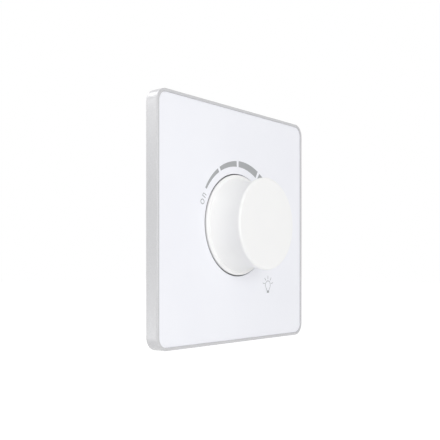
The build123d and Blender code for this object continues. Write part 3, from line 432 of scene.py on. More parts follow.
# %% [markdown]
# ## Print
# The panel carries a stepped scale, the word "on" where the switch clicks in, and a small lamp at the
# bright end. They could be a colour mask in the panel's finish. A real skin a few hundredths of a
# millimetre thick keeps their edges crisp from every side. Each mark is a ribbon: a path, with its width
# set off to both sides.

# %% Ribbons of ink
INK_RISE = 0.03
INK_SINK = 0.05


def ribbon(path, width, closed=False):
    """A flat closed slab along a complex path: each point is moved sideways by half the width, along i
    times the path's direction, and the two edges are set above and below the panel's surface."""
    path = np.asarray(path, complex)
    ahead = np.roll(path, -1) - np.roll(path, 1) if closed else np.gradient(path)
    sideways = 1j * ahead / np.abs(ahead) * np.asarray(width) / 2
    left, right = path + sideways, path - sideways
    high, low = PANEL_FRONT + INK_RISE, PANEL_FRONT - INK_SINK
    rows = np.array([left, right, right, left])
    points = stand_up(rows, [high, high, low, low])
    count = len(path)
    corners, faces = closed_grid(points)
    if not closed:
        faces = [face for face in faces if max(k % count for k in face) - min(k % count for k in face) < 2]
        ends = np.arange(4) * count
        faces += [ends.tolist(), (ends + count - 1)[::-1].tolist()]
    return outward((corners, faces))


print("ink stands", INK_RISE, "mm proud")

# %% [markdown]
# The scale has six steps that grow wider clockwise, so that more light is read without a word. Each step is
# a ribbon along an arc, and its width grows evenly with the angle.

# %% Stepped scale
SCALE_POINTS = 32
SCALE_INNER_R = 21.45
STEP_STARTS = (146.5, 117.7, 88.9, 56.5, 24.0, -8.5)
SCALE_END = -33.0
SCALE_GAP = 3.0
SCALE_START_WIDTH = 0.85
SCALE_GROWTH = 0.0225


def scale_step(start, end):
    """One step: an arc whose inner edge keeps its radius while its outer edge moves out with the angle."""
    angle = np.linspace(start, end, SCALE_POINTS)
    width = SCALE_START_WIDTH + SCALE_GROWTH * (STEP_STARTS[0] - angle)
    return ribbon((SCALE_INNER_R + width / 2) * np.exp(1j * np.radians(angle)), width)


step_ends = [start + SCALE_GAP for start in STEP_STARTS[1:]] + [SCALE_END]
make_piece("print_scale", join_shapes(*map(scale_step, STEP_STARTS, step_ends)), "housing")

# %% [markdown]
# The word is two letters drawn with one even stroke: an oval, and an arch with a stem. A text object could
# set them in a font, but the print is a plain round hand of one width, and ribbons keep it light. The word
# reads clockwise round the knob, its foot towards the knob, so each letter is turned by the angle of its
# place.

# %% Word
LOOP_POINTS = 40
ARCH_POINTS = 16
STEM_POINTS = 6
LETTER_STROKE = 0.28
LETTER_O_AT = (-20.1, 7.3)
LETTER_N_AT = (-19.05, 9.55)
LETTER_HALF_WIDE = 0.82
LETTER_HALF_HIGH = 0.9
N_HALF_WIDE = 0.52

loop_turn = np.linspace(0, 2 * pi, LOOP_POINTS, endpoint=False)
o_loop = LETTER_HALF_WIDE * np.cos(loop_turn) + 1j * LETTER_HALF_HIGH * np.sin(loop_turn)
n_bend = LETTER_HALF_HIGH - N_HALF_WIDE
n_arch = np.concatenate([N_HALF_WIDE * np.exp(1j * np.linspace(pi, 0, ARCH_POINTS)) + 1j * n_bend,
                         N_HALF_WIDE + 1j * np.linspace(n_bend, -LETTER_HALF_HIGH, STEM_POINTS)[1:]])
n_stem = -N_HALF_WIDE + 1j * np.linspace(-LETTER_HALF_HIGH, LETTER_HALF_HIGH, STEM_POINTS)


def placed(letter, at):
    """A letter turned so that its up direction points away from the knob's axis, and moved to its place."""
    place = complex(*at)
    return letter * (-1j * place / abs(place)) + place


make_piece("print_on", join_shapes(
    ribbon(placed(o_loop, LETTER_O_AT), LETTER_STROKE, closed=True),
    ribbon(placed(n_arch, LETTER_N_AT), LETTER_STROKE),
    ribbon(placed(n_stem, LETTER_N_AT), LETTER_STROKE)), "housing")

# %% [markdown]
# The lamp sign marks the bright end: a circle that runs into a neck, a short cap and five rays. The cap is
# one wide ribbon, and the rest are thin ones.

# %% Lamp sign
LAMP_AT = 19.1 - 22.3j
LAMP_R = 1.6
LAMP_STROKE = 0.22
BULB_ANGLES = (-25, 205)
LAMP_NECK = 0.55 - 2.4j
CAP_WIDTH = 1.4
CAP_RUN = (0.27, -0.63)
RAY_POINTS = 4
RAY_ANGLES = (166, 128, 90, 52, 14)
RAY_FROM = 2.2
RAY_TO = 3.6

bulb_turn = np.radians(np.linspace(*BULB_ANGLES, LOOP_POINTS))
bulb = np.concatenate([[LAMP_NECK], LAMP_R * np.exp(1j * bulb_turn), [-LAMP_NECK.conjugate()]])
cap_path = LAMP_AT + 1j * (LAMP_NECK.imag + np.linspace(*CAP_RUN, RAY_POINTS))
ray_spokes = np.exp(1j * np.radians(np.array(RAY_ANGLES)))
ray_run = np.linspace(RAY_FROM, RAY_TO, RAY_POINTS)
rays = [ribbon(LAMP_AT + spoke * ray_run, LAMP_STROKE) for spoke in ray_spokes]
make_piece("print_lamp", join_shapes(
    ribbon(LAMP_AT + bulb, LAMP_STROKE), ribbon(cap_path, CAP_WIDTH), *rays), "housing")

# %% [markdown]
# ## Solder
# Wherever a lead or a tag passes through the board, a bright cone of solder ties it to the copper behind.
# The places could be typed in one by one. The leads are found by their ends instead, which stand out behind
# the board, so that every joint sits where its lead is.

# %% Lead ends behind the board
SOLDERED = ("triac", "pot_lugs", "switch_leaf", "switch_contact", "choke_winding", "filter_capacitor",
            "timing_capacitors", "resistors", "diac")
BOARD_BACK_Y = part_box("circuit_board")[1].y / MM
LEAD_SHOWS = 0.3
SAME_LEAD = 1.9


def lead_ends(piece):
    """Middle and half size of each lead's end: points beyond the board, gathered from left to right where
    they lie close to the first."""
    flat = np.empty(3 * len(piece.data.vertices))
    piece.data.vertices.foreach_get("co", flat)
    x, y, z = flat.reshape(-1, 3).T / MM
    left, found = np.sort((x + 1j * z)[y > BOARD_BACK_Y + LEAD_SHOWS]), []
    while len(left):
        near = np.abs(left - left[0]) < SAME_LEAD
        end, left = left[near], left[~near]
        wide, high = np.ptp(end.real) / 2, np.ptp(end.imag) / 2
        found.append((end.real.min() + wide + 1j * (end.imag.min() + high), wide, high))
    return found


leads = [end for name in SOLDERED for end in lead_ends(nodes[name])]
print("leads through the board:", len(leads))

# %% [markdown]
# Molten solder climbs the lead and cools in a hollow curve, as water does at the wall of a glass. A joint
# is a small lathe form with that curve, drawn out to an oval where the lead is flat.

# %% Solder joints
SOLDER_RINGS = 7
SOLDER_COLUMNS = 20
SOLDER_REACH = 0.45
SOLDER_HEIGHT = 0.6
SOLDER_ROOT = 0.05
CORNER_COVER = 2 ** 0.5


def solder_joint(middle, wide, high):
    """An oval cone: both half widths shrink with the square of the height that is left, down to an oval
    that just holds the lead's four corners."""
    climbed = np.linspace(0, 1, SOLDER_RINGS)[:, None]
    spread = SOLDER_REACH * (1 - climbed) ** 2
    angle = np.linspace(0, 2 * pi, SOLDER_COLUMNS, endpoint=False)
    rings = middle + (CORNER_COVER * wide + spread) * np.cos(angle) \
        + 1j * (CORNER_COVER * high + spread) * np.sin(angle)
    heights = SOLDER_ROOT - BOARD_BACK_Y - (SOLDER_HEIGHT + SOLDER_ROOT) * climbed[:, 0]
    poles = [(middle.real, -height, middle.imag) for height in heights[[0, -1]]]
    return outward(closed_grid(stand_up(rings, heights), poles=poles))


make_piece("solder_joints", join_shapes(*[solder_joint(*end) for end in leads]), "housing")

# %% [markdown]
# ## Finishes
# Every finish below is a small tree of shader nodes. One helper adds a node, sets its fields and fills its
# inputs, either with a value or with the output of another node, so that a tree reads like a sentence.

# %% One helper for shader nodes
def add(tree, kind, inputs=None, **settings):
    """Adds a node; inputs maps a socket's name or number to a value or to another node's output."""
    made = tree.nodes.new("ShaderNode" + kind)
    for name, value in settings.items():
        setattr(made, name, value)
    for name, value in (inputs or {}).items():
        if isinstance(value, bpy.types.NodeSocket):
            tree.links.new(value, made.inputs[name])
        else:
            made.inputs[name].default_value = value
    return made


def new_material(name):
    """An empty node tree with its output, ready for a surface."""
    material = bpy.data.materials.new(name)
    material.use_nodes = True
    material.node_tree.nodes.clear()
    return material, material.node_tree, add(material.node_tree, "OutputMaterial")


def dress(material, *piece_names):
    """Gives one finish to every slot of the named pieces, carried over or new."""
    for name in piece_names:
        piece = nodes.get(name) or bpy.data.objects[name]
        if not piece.data.materials:
            piece.data.materials.append(material)
        for slot in range(len(piece.material_slots)):
            piece.material_slots[slot].material = material


print("helpers ready")

# %% [markdown]
# ## Panel: gloss polycarbonate
# Moulded in a polished tool, faintly blue-white. To the eye it is clean and a little glossy, with a slow
# unevenness in the gloss where the melt flowed. One wide noise gives both that and the tone. The grain of
# the polish is finer than a tenth of a millimetre and is drawn coarser, so that it shows at all.

# %% Gloss polycarbonate
FLOW_WIDTH = 22.0
POLISH_GRAIN = 0.35

gloss_white, tree, out = new_material("polycarbonate_polished_white")
where = add(tree, "TexCoord")
flow = add(tree, "TexNoise", {"Vector": where.outputs["Object"], "Scale": 1 / (FLOW_WIDTH * MM),
                              "Detail": 2.0})
tone = add(tree, "MapRange", {"Value": flow.outputs["Fac"], "To Min": 0.0, "To Max": 1.0})
tint = add(tree, "MixRGB", {0: tone.outputs["Result"], 1: linear("F0F1F7"), 2: linear("F4F5FA")})
gloss = add(tree, "MapRange", {"Value": flow.outputs["Fac"], "To Min": 0.26, "To Max": 0.34})
grain = add(tree, "TexNoise", {"Vector": where.outputs["Object"], "Scale": 1 / (POLISH_GRAIN * MM),
                               "Detail": 3.0})
relief = add(tree, "Bump", {"Height": grain.outputs["Fac"], "Strength": 0.25, "Distance": 0.002 * MM})
skin = add(tree, "BsdfPrincipled", {
    "Base Color": tint.outputs[0], "Roughness": gloss.outputs["Result"], "IOR": 1.58,
    "Normal": relief.outputs["Normal"]})
tree.links.new(skin.outputs[0], out.inputs["Surface"])
dress(gloss_white, "panel", "face_panel")
print("panel dressed")

# %% [markdown]
# ## Knob: satin ABS
# The knob is neutral white ABS from a finely stoned tool: satin, with soft highlights that spread along the
# waist. A single roughness would look like paper, so it wanders a little over clouds nine millimetres wide.
# The grain is too fine to see at this distance, so it is drawn a little coarser than it is.

# %% Satin ABS
CLOUD_WIDTH = 9.0
STONED_GRAIN = 0.22

satin_white, tree, out = new_material("abs_satin_white")
where = add(tree, "TexCoord")
cloud = add(tree, "TexNoise", {"Vector": where.outputs["Object"], "Scale": 1 / (CLOUD_WIDTH * MM),
                               "Detail": 2.0})
tint = add(tree, "MixRGB", {0: cloud.outputs["Fac"], 1: linear("F3F3F3"), 2: linear("F6F6F5")})
grain = add(tree, "TexNoise", {"Vector": where.outputs["Object"], "Scale": 1 / (STONED_GRAIN * MM),
                               "Detail": 2.0})
gloss = add(tree, "MapRange", {"Value": cloud.outputs["Fac"], "To Min": 0.33, "To Max": 0.42})
relief = add(tree, "Bump", {"Height": grain.outputs["Fac"], "Strength": 0.3, "Distance": 0.004 * MM})
skin = add(tree, "BsdfPrincipled", {
    "Base Color": tint.outputs[0], "Roughness": gloss.outputs["Result"], "IOR": 1.53,
    "Normal": relief.outputs["Normal"]})
tree.links.new(skin.outputs[0], out.inputs["Surface"])
dress(satin_white, "knob_moulding", "knob")
print("knob dressed")

# %% [markdown]
# ## Surround: silver-grey lacquer
# A pale grey lacquer with very fine flakes was sprayed over the moulding. The flakes lie flat and lift the
# tone a little here and there, and a thin clear coat adds a faint second gloss. A Voronoi pattern gives
# each flake one tone, one gloss and one height, where a noise would blur them into clouds. Real flakes are
# a few hundredths of a millimetre across; these are drawn coarser, so that the satin shows.

# %% Silver-grey lacquer
FLAKE_SIZE = 0.18

lacquer, tree, out = new_material("lacquer_satin_silver")
where = add(tree, "TexCoord")
flakes = add(tree, "TexVoronoi", {"Vector": where.outputs["Object"], "Scale": 1 / (FLAKE_SIZE * MM)})
flake_tone = add(tree, "SeparateColor", {"Color": flakes.outputs["Color"]})
tint = add(tree, "MixRGB", {0: flake_tone.outputs[0], 1: linear("C4C4C6"), 2: linear("CECED0")})
gloss = add(tree, "MapRange", {"Value": flake_tone.outputs[1], "To Min": 0.32, "To Max": 0.44})
relief = add(tree, "Bump", {"Height": flake_tone.outputs[2], "Strength": 0.2, "Distance": 0.003 * MM})
skin = add(tree, "BsdfPrincipled", {
    "Base Color": tint.outputs[0], "Metallic": 0.15, "Roughness": gloss.outputs["Result"],
    "Coat Weight": 0.1, "Coat Roughness": 0.3, "Normal": relief.outputs["Normal"]})
tree.links.new(skin.outputs[0], out.inputs["Surface"])
dress(lacquer, "surround", "cover_frame")
print("surround dressed")

# %% [markdown]
# ## Ink: pad-printed grey
# A soft pad lays the ink down. It is matt against the gloss of the panel, and never quite even: the tone
# changes over spots as small as its pinholes, which keeps it from looking like a sticker.

# %% Pad-print ink
PINHOLE_SIZE = 0.12

ink, tree, out = new_material("pad_print_ink_grey")
where = add(tree, "TexCoord")
pinholes = add(tree, "TexNoise", {"Vector": where.outputs["Object"], "Scale": 1 / (PINHOLE_SIZE * MM),
                                  "Detail": 2.0})
tint = add(tree, "MixRGB", {0: pinholes.outputs["Fac"], 1: linear("A2A4A6"), 2: linear("AEB0B2")})
skin = add(tree, "BsdfPrincipled", {"Base Color": tint.outputs[0], "Roughness": 0.62, "IOR": 1.48})
tree.links.new(skin.outputs[0], out.inputs["Surface"])
dress(ink, "print_scale", "print_on", "print_lamp")
print("print dressed")

# %% [markdown]
# ## The finishes that the cover hides
# Behind the cover most surfaces share one habit: tone and gloss wander together over spots of some real
# size. Rolling and drawing stretch the spots along one way. Each finish could be a tree of its own. One
# recipe holds the habit instead, and each finish below names its two tones, its range of roughness and the
# size of its spots in millimetres. No moulded or stamped edge is a knife's edge, so the recipe also lets
# the shading run round each edge of these plain solids.

# %% Recipe for wandering finishes
EDGE_SOFTNESS = 0.12


def wandering(name, dark, light, gloss, spot_mm, metallic=0.0, stretch=(1, 1, 1), relief_mm=0.003):
    """Noise spots mix two tones, steer the roughness between two limits and raise a faint relief."""
    made, tree, out = new_material(name)
    where = add(tree, "TexCoord")
    drawn = add(tree, "Mapping", {"Vector": where.outputs["Object"], "Scale": stretch})
    spots = add(tree, "TexNoise", {"Vector": drawn.outputs[0], "Scale": 1 / (spot_mm * MM), "Detail": 3.0})
    tint = add(tree, "MixRGB", {0: spots.outputs["Fac"], 1: linear(dark), 2: linear(light)})
    rough = add(tree, "MapRange", {"Value": spots.outputs["Fac"], "To Min": gloss[0], "To Max": gloss[1]})
    edges = add(tree, "Bevel", {"Radius": EDGE_SOFTNESS * MM}, samples=4)
    relief = add(tree, "Bump", {"Height": spots.outputs["Fac"], "Strength": 0.3, "Distance": relief_mm * MM,
                                "Normal": edges.outputs["Normal"]})
    skin = add(tree, "BsdfPrincipled", {
        "Base Color": tint.outputs[0], "Metallic": metallic, "Roughness": rough.outputs["Result"],
        "Normal": relief.outputs["Normal"]})
    tree.links.new(skin.outputs[0], out.inputs["Surface"])
    return made, tree, where, skin


def carve(tree, skin, height, depth_mm):
    """A second relief on top of the one that a finish has."""
    below = skin.inputs["Normal"].links[0].from_socket
    relief = add(tree, "Bump", {"Height": height, "Strength": 0.6, "Distance": depth_mm * MM,
                                "Normal": below})
    tree.links.new(relief.outputs["Normal"], skin.inputs["Normal"])


print("recipe ready")

# %% [markdown]
# ### Moulded plastics
# The base is grey polyamide from a spark-eroded tool, matt with a grain like fine sand. The rear cover is
# the same plastic with glass fibres, darker and streaky. The switch cup and the terminal block are black
# phenolic, where wood flour leaves brown specks. The rotor and the cam are nylon, which lets light in a
# little way.

# %% Moulded plastics
polyamide, *_ = wandering("polyamide_spark_eroded_grey", "C6C8C8", "D6D7D6", (0.52, 0.66), 0.30)
dress(polyamide, "base_moulding")
fibre_filled, *_ = wandering("polyamide_glass_filled_dark", "35373A", "4A4C4F", (0.45, 0.62), 0.55,
                             stretch=(0.25, 1, 1))
dress(fibre_filled, "rear_cover")
bakelite, *_ = wandering("phenolic_wood_flour_black", "17171A", "2A2724", (0.30, 0.46), 0.35)
dress(bakelite, "switch_housing", "terminal_block")

nylon, *_, skin = wandering("nylon_natural", "E2E0D4", "EEECE2", (0.38, 0.50), 2.5)
skin.inputs["Subsurface Weight"].default_value = 0.25
skin.inputs["Subsurface Scale"].default_value = 1.2 * MM
dress(nylon, "pot_rotor", "switch_cam")
print("plastics dressed")

# %% [markdown]
# ### Plated and rolled metals
# Zinc plate is bluish and a little cloudy, tin is soft and dull, nickel is warm and bright. Bronze strip
# and aluminium sheet keep the long fine lines of the rolls. Spring steel is dark from its hardening and
# shines with oil, and solder that cooled undisturbed is brightest of all. Metals keep the shader's own
# refraction.

# %% Plated and rolled metals
zinc_plate, *_ = wandering("steel_zinc_plated", "A6ABB1", "C6CACD", (0.26, 0.44), 0.9, metallic=1.0)
dress(zinc_plate, "rear_screws", "pot_washer", "pot_nut", "pot_can", "triac_screw", "terminal_screws")
hardened, *_ = wandering("spring_steel_oiled", "4B4A4C", "696869", (0.22, 0.40), 0.6, metallic=1.0)
dress(hardened, "knob_clip", "shaft_ring")
tin, *_ = wandering("brass_tinned", "B4B3AE", "CBCAC4", (0.32, 0.50), 0.5, metallic=1.0)
dress(tin, "pot_lugs", "switch_contact", "fuse_clips")
bright_tin, *_ = wandering("solder_tin", "C2C2C0", "D8D8D5", (0.16, 0.30), 0.5, metallic=1.0)
dress(bright_tin, "solder_joints")
nickel, *_ = wandering("brass_nickel_plated", "B9B3A4", "CFC9BB", (0.16, 0.28), 0.7, metallic=1.0)
dress(nickel, "fuse_caps", "terminal_cages")
bronze, *_ = wandering("phosphor_bronze_rolled", "B0794C", "C8915F", (0.24, 0.38), 0.15, metallic=1.0,
                       stretch=(1, 1, 0.08))
dress(bronze, "wiper", "switch_leaf")
sheet, *_ = wandering("aluminium_rolled", "BFC1C3", "D3D5D6", (0.28, 0.42), 0.18, metallic=1.0,
                      stretch=(0.05, 1, 1))
dress(sheet, "heat_sink")
print("metals dressed")

# %% [markdown]
# ### Shaft: turned steel
# A lathe tool leaves a fine thread of rings round the shaft. They lie a tenth of a millimetre apart; at
# that pitch they would vanish in the picture, so they are drawn a quarter of a millimetre apart.

# %% Turned shaft
RING_PITCH = 0.25


def ripple(tree, coordinate, pitch_mm):
    """A wave along one coordinate: the sine of its angle, with one full turn in each pitch."""
    phase = add(tree, "Math", {0: coordinate, 1: 2 * pi / (pitch_mm * MM)}, operation="MULTIPLY")
    return add(tree, "Math", {0: phase.outputs[0]}, operation="SINE").outputs[0]


turned, tree, where, skin = wandering("steel_turned_bright", "ABABAC", "BDBDBE", (0.20, 0.30), 1.2,
                                      metallic=1.0)
place = add(tree, "SeparateXYZ", {"Vector": where.outputs["Object"]})
carve(tree, skin, ripple(tree, place.outputs["Y"], RING_PITCH), 0.002)
dress(turned, "pot_shaft")
print("shaft dressed")

# %% [markdown]
# ### Two finishes on one piece
# Parts on the board come with their leads, and the leads are dull tin whatever the body is. Two material
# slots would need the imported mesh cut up, which is never changed. A mask picks the leads out by place
# instead: it is one wherever a coordinate lies further from the body's middle than half its length. The
# film capacitors are the first: one in a moulded yellow case, two dipped in red epoxy, all smooth and a bit
# waxy.

# %% Leads and bodies
TIN = "BDBCB7"
CASE_LIFT = 1.0


def outside(tree, coordinate, low_mm, high_mm):
    """One beyond either end of a stretch of the coordinate, nought inside it."""
    middle, half = (low_mm + high_mm) / 2 * MM, (high_mm - low_mm) / 2 * MM
    offset = add(tree, "Math", {0: coordinate, 1: middle}, operation="SUBTRACT")
    distance = add(tree, "Math", {0: offset.outputs[0]}, operation="ABSOLUTE")
    return add(tree, "Math", {0: distance.outputs[0], 1: half}, operation="GREATER_THAN").outputs[0]


def inside(tree, coordinate, low_mm, high_mm):
    """The other way round: one within the stretch."""
    return add(tree, "Math", {0: 1.0, 1: outside(tree, coordinate, low_mm, high_mm)},
               operation="SUBTRACT").outputs[0]


def paint_where(tree, skin, mask, colour, metallic=False):
    """Lays a second colour over a finish where the mask is one, as metal if asked."""
    below = skin.inputs["Base Color"].links[0].from_socket
    over = add(tree, "MixRGB", {0: mask, 1: below, 2: linear(colour)})
    tree.links.new(over.outputs[0], skin.inputs["Base Color"])
    if metallic:
        tree.links.new(mask, skin.inputs["Metallic"])


BOARD_FRONT_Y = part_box("circuit_board")[0].y / MM
CAPACITORS = {
    "filter_capacitor": ("film_capacitor_case_yellow", "D9A023", "E6B23C"),
    "timing_capacitors": ("film_capacitor_dip_red", "8E2F22", "A63E2C"),
}
for piece, (finish, dark, light) in CAPACITORS.items():
    case, tree, where, skin = wandering(finish, dark, light, (0.30, 0.42), 1.1)
    place = add(tree, "SeparateXYZ", {"Vector": where.outputs["Object"]})
    top_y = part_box(piece)[0].y / MM
    tinned = outside(tree, place.outputs["Y"], top_y - CASE_LIFT, BOARD_FRONT_Y)
    paint_where(tree, skin, tinned, TIN, metallic=True)
    dress(case, piece)
print("capacitors stand", round(BOARD_FRONT_Y - top_y, 1), "mm high at the lowest")

# %% [markdown]
# ### Triac: moulded epoxy
# The triac's body is black epoxy, pressed hot into a mould: matt, with a close dark grain. Its tab and its
# three legs are one tinned copper strip, which shows on both sides of the body.

# %% Triac
TRIAC_BODY = (-9.0, 0.2)

epoxy, tree, where, skin = wandering("epoxy_moulded_black", "121214", "202022", (0.40, 0.55), 0.25)
place = add(tree, "SeparateXYZ", {"Vector": where.outputs["Object"]})
paint_where(tree, skin, outside(tree, place.outputs["X"], *TRIAC_BODY), TIN, metallic=True)
dress(epoxy, "triac")
print("triac dressed")

# %% [markdown]
# ### Bushing: die-cast zinc
# The bush and the front plate of the potentiometer are one zinc casting, grey and matt. The bush carries a
# fine thread for its nut. The solid has a plain cylinder there, so the ridges are drawn in the shading, and
# only in front of the plate.

# %% Die-cast bushing
BUSH_THREAD = 0.75

cast_zinc, tree, where, skin = wandering("zinc_die_cast", "8E9195", "A7A9AC", (0.44, 0.60), 0.4,
                                         metallic=1.0, relief_mm=0.008)
place = add(tree, "SeparateXYZ", {"Vector": where.outputs["Object"]})
ridges = ripple(tree, place.outputs["Y"], BUSH_THREAD)
bush_front, bush_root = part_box("pot_bushing")[0].y / MM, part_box("pot_washer")[1].y / MM
threaded = inside(tree, place.outputs["Y"], bush_front, bush_root)
cut = add(tree, "Math", {0: ridges, 1: threaded}, operation="MULTIPLY")
carve(tree, skin, cut.outputs[0], 0.15)
dress(cast_zinc, "pot_bushing")
print("thread on", round(bush_root - bush_front, 1), "mm of the bush")

# %% [markdown]
# ### Resistors and diode
# The resistors are dipped in beige lacquer, smooth and half gloss, and wear four coloured rings that give
# their value in the usual code. Each ring is a stretch of the body's length, painted over the lacquer. The
# diode is glass over a blue tone, and almost a mirror.

# %% Resistors and diode
AXIAL_Z = -15.0
RESISTOR_LENGTH = 5.6
DIAC_LENGTH = 3.6
RINGS = (("8A4B22", 0.16), ("1B1B1B", 0.32), ("D8B21E", 0.48), ("B0893A", 0.76))
RING_SHARE = 0.08

lacquered, tree, where, skin = wandering("carbon_film_lacquer_beige", "BFA277", "CDB187", (0.28, 0.38), 0.8)
place = add(tree, "SeparateXYZ", {"Vector": where.outputs["Object"]})
low, high = AXIAL_Z - RESISTOR_LENGTH / 2, AXIAL_Z + RESISTOR_LENGTH / 2
for colour, share in RINGS:
    ring_low = low + share * RESISTOR_LENGTH
    ring = inside(tree, place.outputs["Z"], ring_low, ring_low + RING_SHARE * RESISTOR_LENGTH)
    paint_where(tree, skin, ring, colour)
paint_where(tree, skin, outside(tree, place.outputs["Z"], low, high), TIN, metallic=True)
dress(lacquered, "resistors")

diode, tree, where, skin = wandering("diode_glass_blue", "3E6A8C", "5B86A6", (0.05, 0.12), 0.9)
place = add(tree, "SeparateXYZ", {"Vector": where.outputs["Object"]})
low, high = AXIAL_Z - DIAC_LENGTH / 2, AXIAL_Z + DIAC_LENGTH / 2
paint_where(tree, skin, outside(tree, place.outputs["Z"], low, high), TIN, metallic=True)
dress(diode, "diac")
print("axial parts dressed")

# %% [markdown]
# ### Choke
# The ring is pressed iron powder under a thick yellow paint, with one face white. The wire is copper under
# red-brown enamel. The copper gives the colour its depth, and a coat on top stands for the clear enamel
# with a second, sharper gloss.

# %% Choke
PAINT_EDGE = 0.15
PAST_CORE = 1.0

painted, tree, where, skin = wandering("iron_powder_painted", "C9AE23", "D8BF3A", (0.34, 0.48), 0.8)
place = add(tree, "SeparateXYZ", {"Vector": where.outputs["Object"]})
core_low, core_high = (corner.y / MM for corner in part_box("choke_core"))
white_face = outside(tree, place.outputs["Y"], core_low + PAINT_EDGE, core_high + PAST_CORE)
paint_where(tree, skin, white_face, "E4E2DA")
dress(painted, "choke_core")

enamel, *_, skin = wandering("copper_enamelled", "7A351B", "944A26", (0.30, 0.40), 0.4, metallic=1.0)
skin.inputs["Coat Weight"].default_value = 0.7
skin.inputs["Coat Roughness"].default_value = 0.12
dress(enamel, "choke_winding")
print("choke dressed")

# %% [markdown]
# ### Board, wafer and fuse
# Under the green lacquer of the board the glass cloth shows as a faint grid; its threads lie half a
# millimetre apart. Two waves, one along each way of the cloth, are multiplied to give it. The edges are
# sawn and show the yellow laminate: they are found by which way the surface faces, and not by place.

# %% Circuit board
THREAD_PITCH = 0.5
FACES_SIDEWAYS = 0.5

board, tree, where, skin = wandering("glass_epoxy_green_lacquer", "0F5A2E", "17703B", (0.22, 0.34), 1.5)
place = add(tree, "SeparateXYZ", {"Vector": where.outputs["Object"]})
warp, weft = (ripple(tree, place.outputs[axis], THREAD_PITCH) for axis in ("X", "Z"))
weave = add(tree, "Math", {0: warp, 1: weft}, operation="MULTIPLY")
carve(tree, skin, weave.outputs[0], 0.003)
facing = add(tree, "SeparateXYZ", {"Vector": where.outputs["Normal"]})
across = add(tree, "Math", {0: facing.outputs["Y"]}, operation="ABSOLUTE")
sawn = add(tree, "Math", {0: across.outputs[0], 1: FACES_SIDEWAYS}, operation="LESS_THAN")
paint_where(tree, skin, sawn.outputs[0], "B9AD6A")
dress(board, "circuit_board")
print("board dressed")

# %% [markdown]
# The potentiometer's wafer is brown paper laminate, pressed and punched, half matt, with a ring of black
# carbon printed where the wiper runs. The ring is a stretch of the distance from the axis. The fuse is a
# piece of drawn glass tube, clear and smooth.

# %% Wafer and fuse
TRACK = (4.5, 7.0)

laminate, tree, where, skin = wandering("phenolic_paper_laminate", "6A4324", "835631", (0.38, 0.50), 0.7)
flattened = add(tree, "VectorMath", {0: where.outputs["Object"], 1: (1, 0, 1)}, operation="MULTIPLY")
radius = add(tree, "VectorMath", {0: flattened.outputs[0]}, operation="LENGTH")
paint_where(tree, skin, inside(tree, radius.outputs["Value"], *TRACK), "1D1C1B")
dress(laminate, "resistive_wafer")

glass, *_, skin = wandering("fuse_glass_clear", "F2F6F4", "FAFCFB", (0.02, 0.06), 3.0, relief_mm=0.0005)
skin.inputs["Transmission Weight"].default_value = 1.0
skin.inputs["IOR"].default_value = 1.47
dress(glass, "fuse_tube")
print("wafer and fuse dressed")

bare = [name for name, piece in nodes.items() if not piece.data.materials]
print("nodes still without a finish:", bare)

# %% [markdown]
# ## Studio
# A pale world lights from everywhere. The background is white only for the eye of the camera and in
# reflections. More light could whiten it too, but that would bleach the plate. The Light Path node tells
# the rays apart, so the white shows in the gloss and adds nothing to the matt light.

# %% World
WHITE = linear("FFFFFF")
WORLD_LIGHT = 0.62

world = bpy.data.worlds.new("studio")
world.use_nodes = True
bpy.context.scene.world = world
tree = world.node_tree
tree.nodes.clear()
path = add(tree, "LightPath")
seen = add(tree, "Math", {0: path.outputs["Is Camera Ray"], 1: path.outputs["Is Glossy Ray"]},
           operation="MAXIMUM")
seen = add(tree, "Math", {0: seen.outputs[0], 1: path.outputs["Is Transmission Ray"]}, operation="MAXIMUM")
backdrop = add(tree, "Background", {"Color": WHITE, "Strength": 1.0})
ambient = add(tree, "Background", {"Color": WHITE, "Strength": WORLD_LIGHT})
mixed = add(tree, "MixShader", {0: seen.outputs[0], 1: ambient.outputs[0], 2: backdrop.outputs[0]})
add(tree, "OutputWorld", {"Surface": mixed.outputs[0]})
print("world light", WORLD_LIGHT)

# %% [markdown]
# One large soft lamp at the left front lights the plate, and a weak one draws the fine line along the rim.
# Three stand behind the wall's plane: two put a sheen on the upper and lower end of the plate's side wall,
# which darkens towards its middle, and one lights the round of the upper corner. The last skims over the
# panel from the upper left: it brightens the knob's side, which the large lamp only grazes, and adds little
# to the panel, which it meets at a flat angle. All are square and face the middle of the plate.

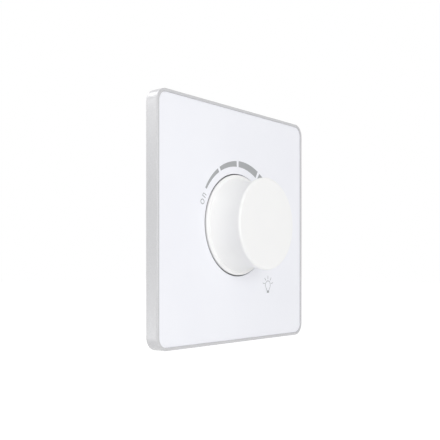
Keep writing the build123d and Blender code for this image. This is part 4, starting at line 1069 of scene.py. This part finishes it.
# %% Lamps
LAMPS = {
    "key_lamp": ((-265, -612, 100), 400, 1.38),
    "edge_lamp": ((-240, -420, -35), 100, 0.06),
    "upper_kicker": ((-268, 175, 134), 60, 0.10),
    "lower_kicker": ((-265, 187, -80), 60, 0.06),
    "corner_lamp": ((-101, 201, 251), 120, 0.22),
    "waist_lamp": ((-200, -60, 300), 120, 0.12),
}
for name, (at_mm, size_mm, watts) in LAMPS.items():
    light = bpy.data.lights.new(name, "AREA")
    light.size = size_mm * MM
    light.energy = watts
    lamp = bpy.data.objects.new(name, light)
    lamp.location = [c * MM for c in at_mm]
    lamp.rotation_euler = (-lamp.location).to_track_quat("-Z", "Y").to_euler()
    bpy.context.scene.collection.objects.link(lamp)
print("lamps:", *LAMPS)

# %% [markdown]
# A floor well below the plate, of pale matt paper, catches a soft shadow. It glows a little, for the camera
# and for reflections alone, so that it melts into the white background as the paper sweep of a studio does.

# %% Floor
FLOOR_DROP = 60.0
FLOOR_HALF = 4000.0
FLOOR_GLOW = 0.52

floor_z = cad_box[0].z / MM - FLOOR_DROP
corners = np.array([[-1, -1], [1, -1], [1, 1], [-1, 1]]) * FLOOR_HALF
floor_points = np.column_stack([corners, np.full(4, floor_z)]) * MM
floor_mesh = bpy.data.meshes.new("floor")
floor_mesh.from_pydata(floor_points.tolist(), [], [[0, 1, 2, 3]])
floor = bpy.data.objects.new("floor", floor_mesh)
bpy.context.scene.collection.objects.link(floor)
paper, tree, out = new_material("white_paper_sweep")
path = add(tree, "LightPath")
seen = add(tree, "Math", {0: path.outputs["Is Camera Ray"], 1: path.outputs["Is Glossy Ray"]},
           operation="MAXIMUM")
share = add(tree, "Math", {0: seen.outputs[0], 1: FLOOR_GLOW}, operation="MULTIPLY")
matt = add(tree, "BsdfDiffuse", {"Color": linear("F4F4F4")})
glow = add(tree, "Emission", {"Color": WHITE, "Strength": share.outputs[0]})
both = add(tree, "AddShader", {0: matt.outputs[0], 1: glow.outputs[0]})
tree.links.new(both.outputs[0], out.inputs["Surface"])
floor_mesh.materials.append(paper)
print("floor", round(FLOOR_DROP), "mm below the plate")

# %% [markdown]
# Last, the Standard view shows each colour as it was written.

# %% Colour view
bpy.context.scene.view_settings.view_transform = "Standard"
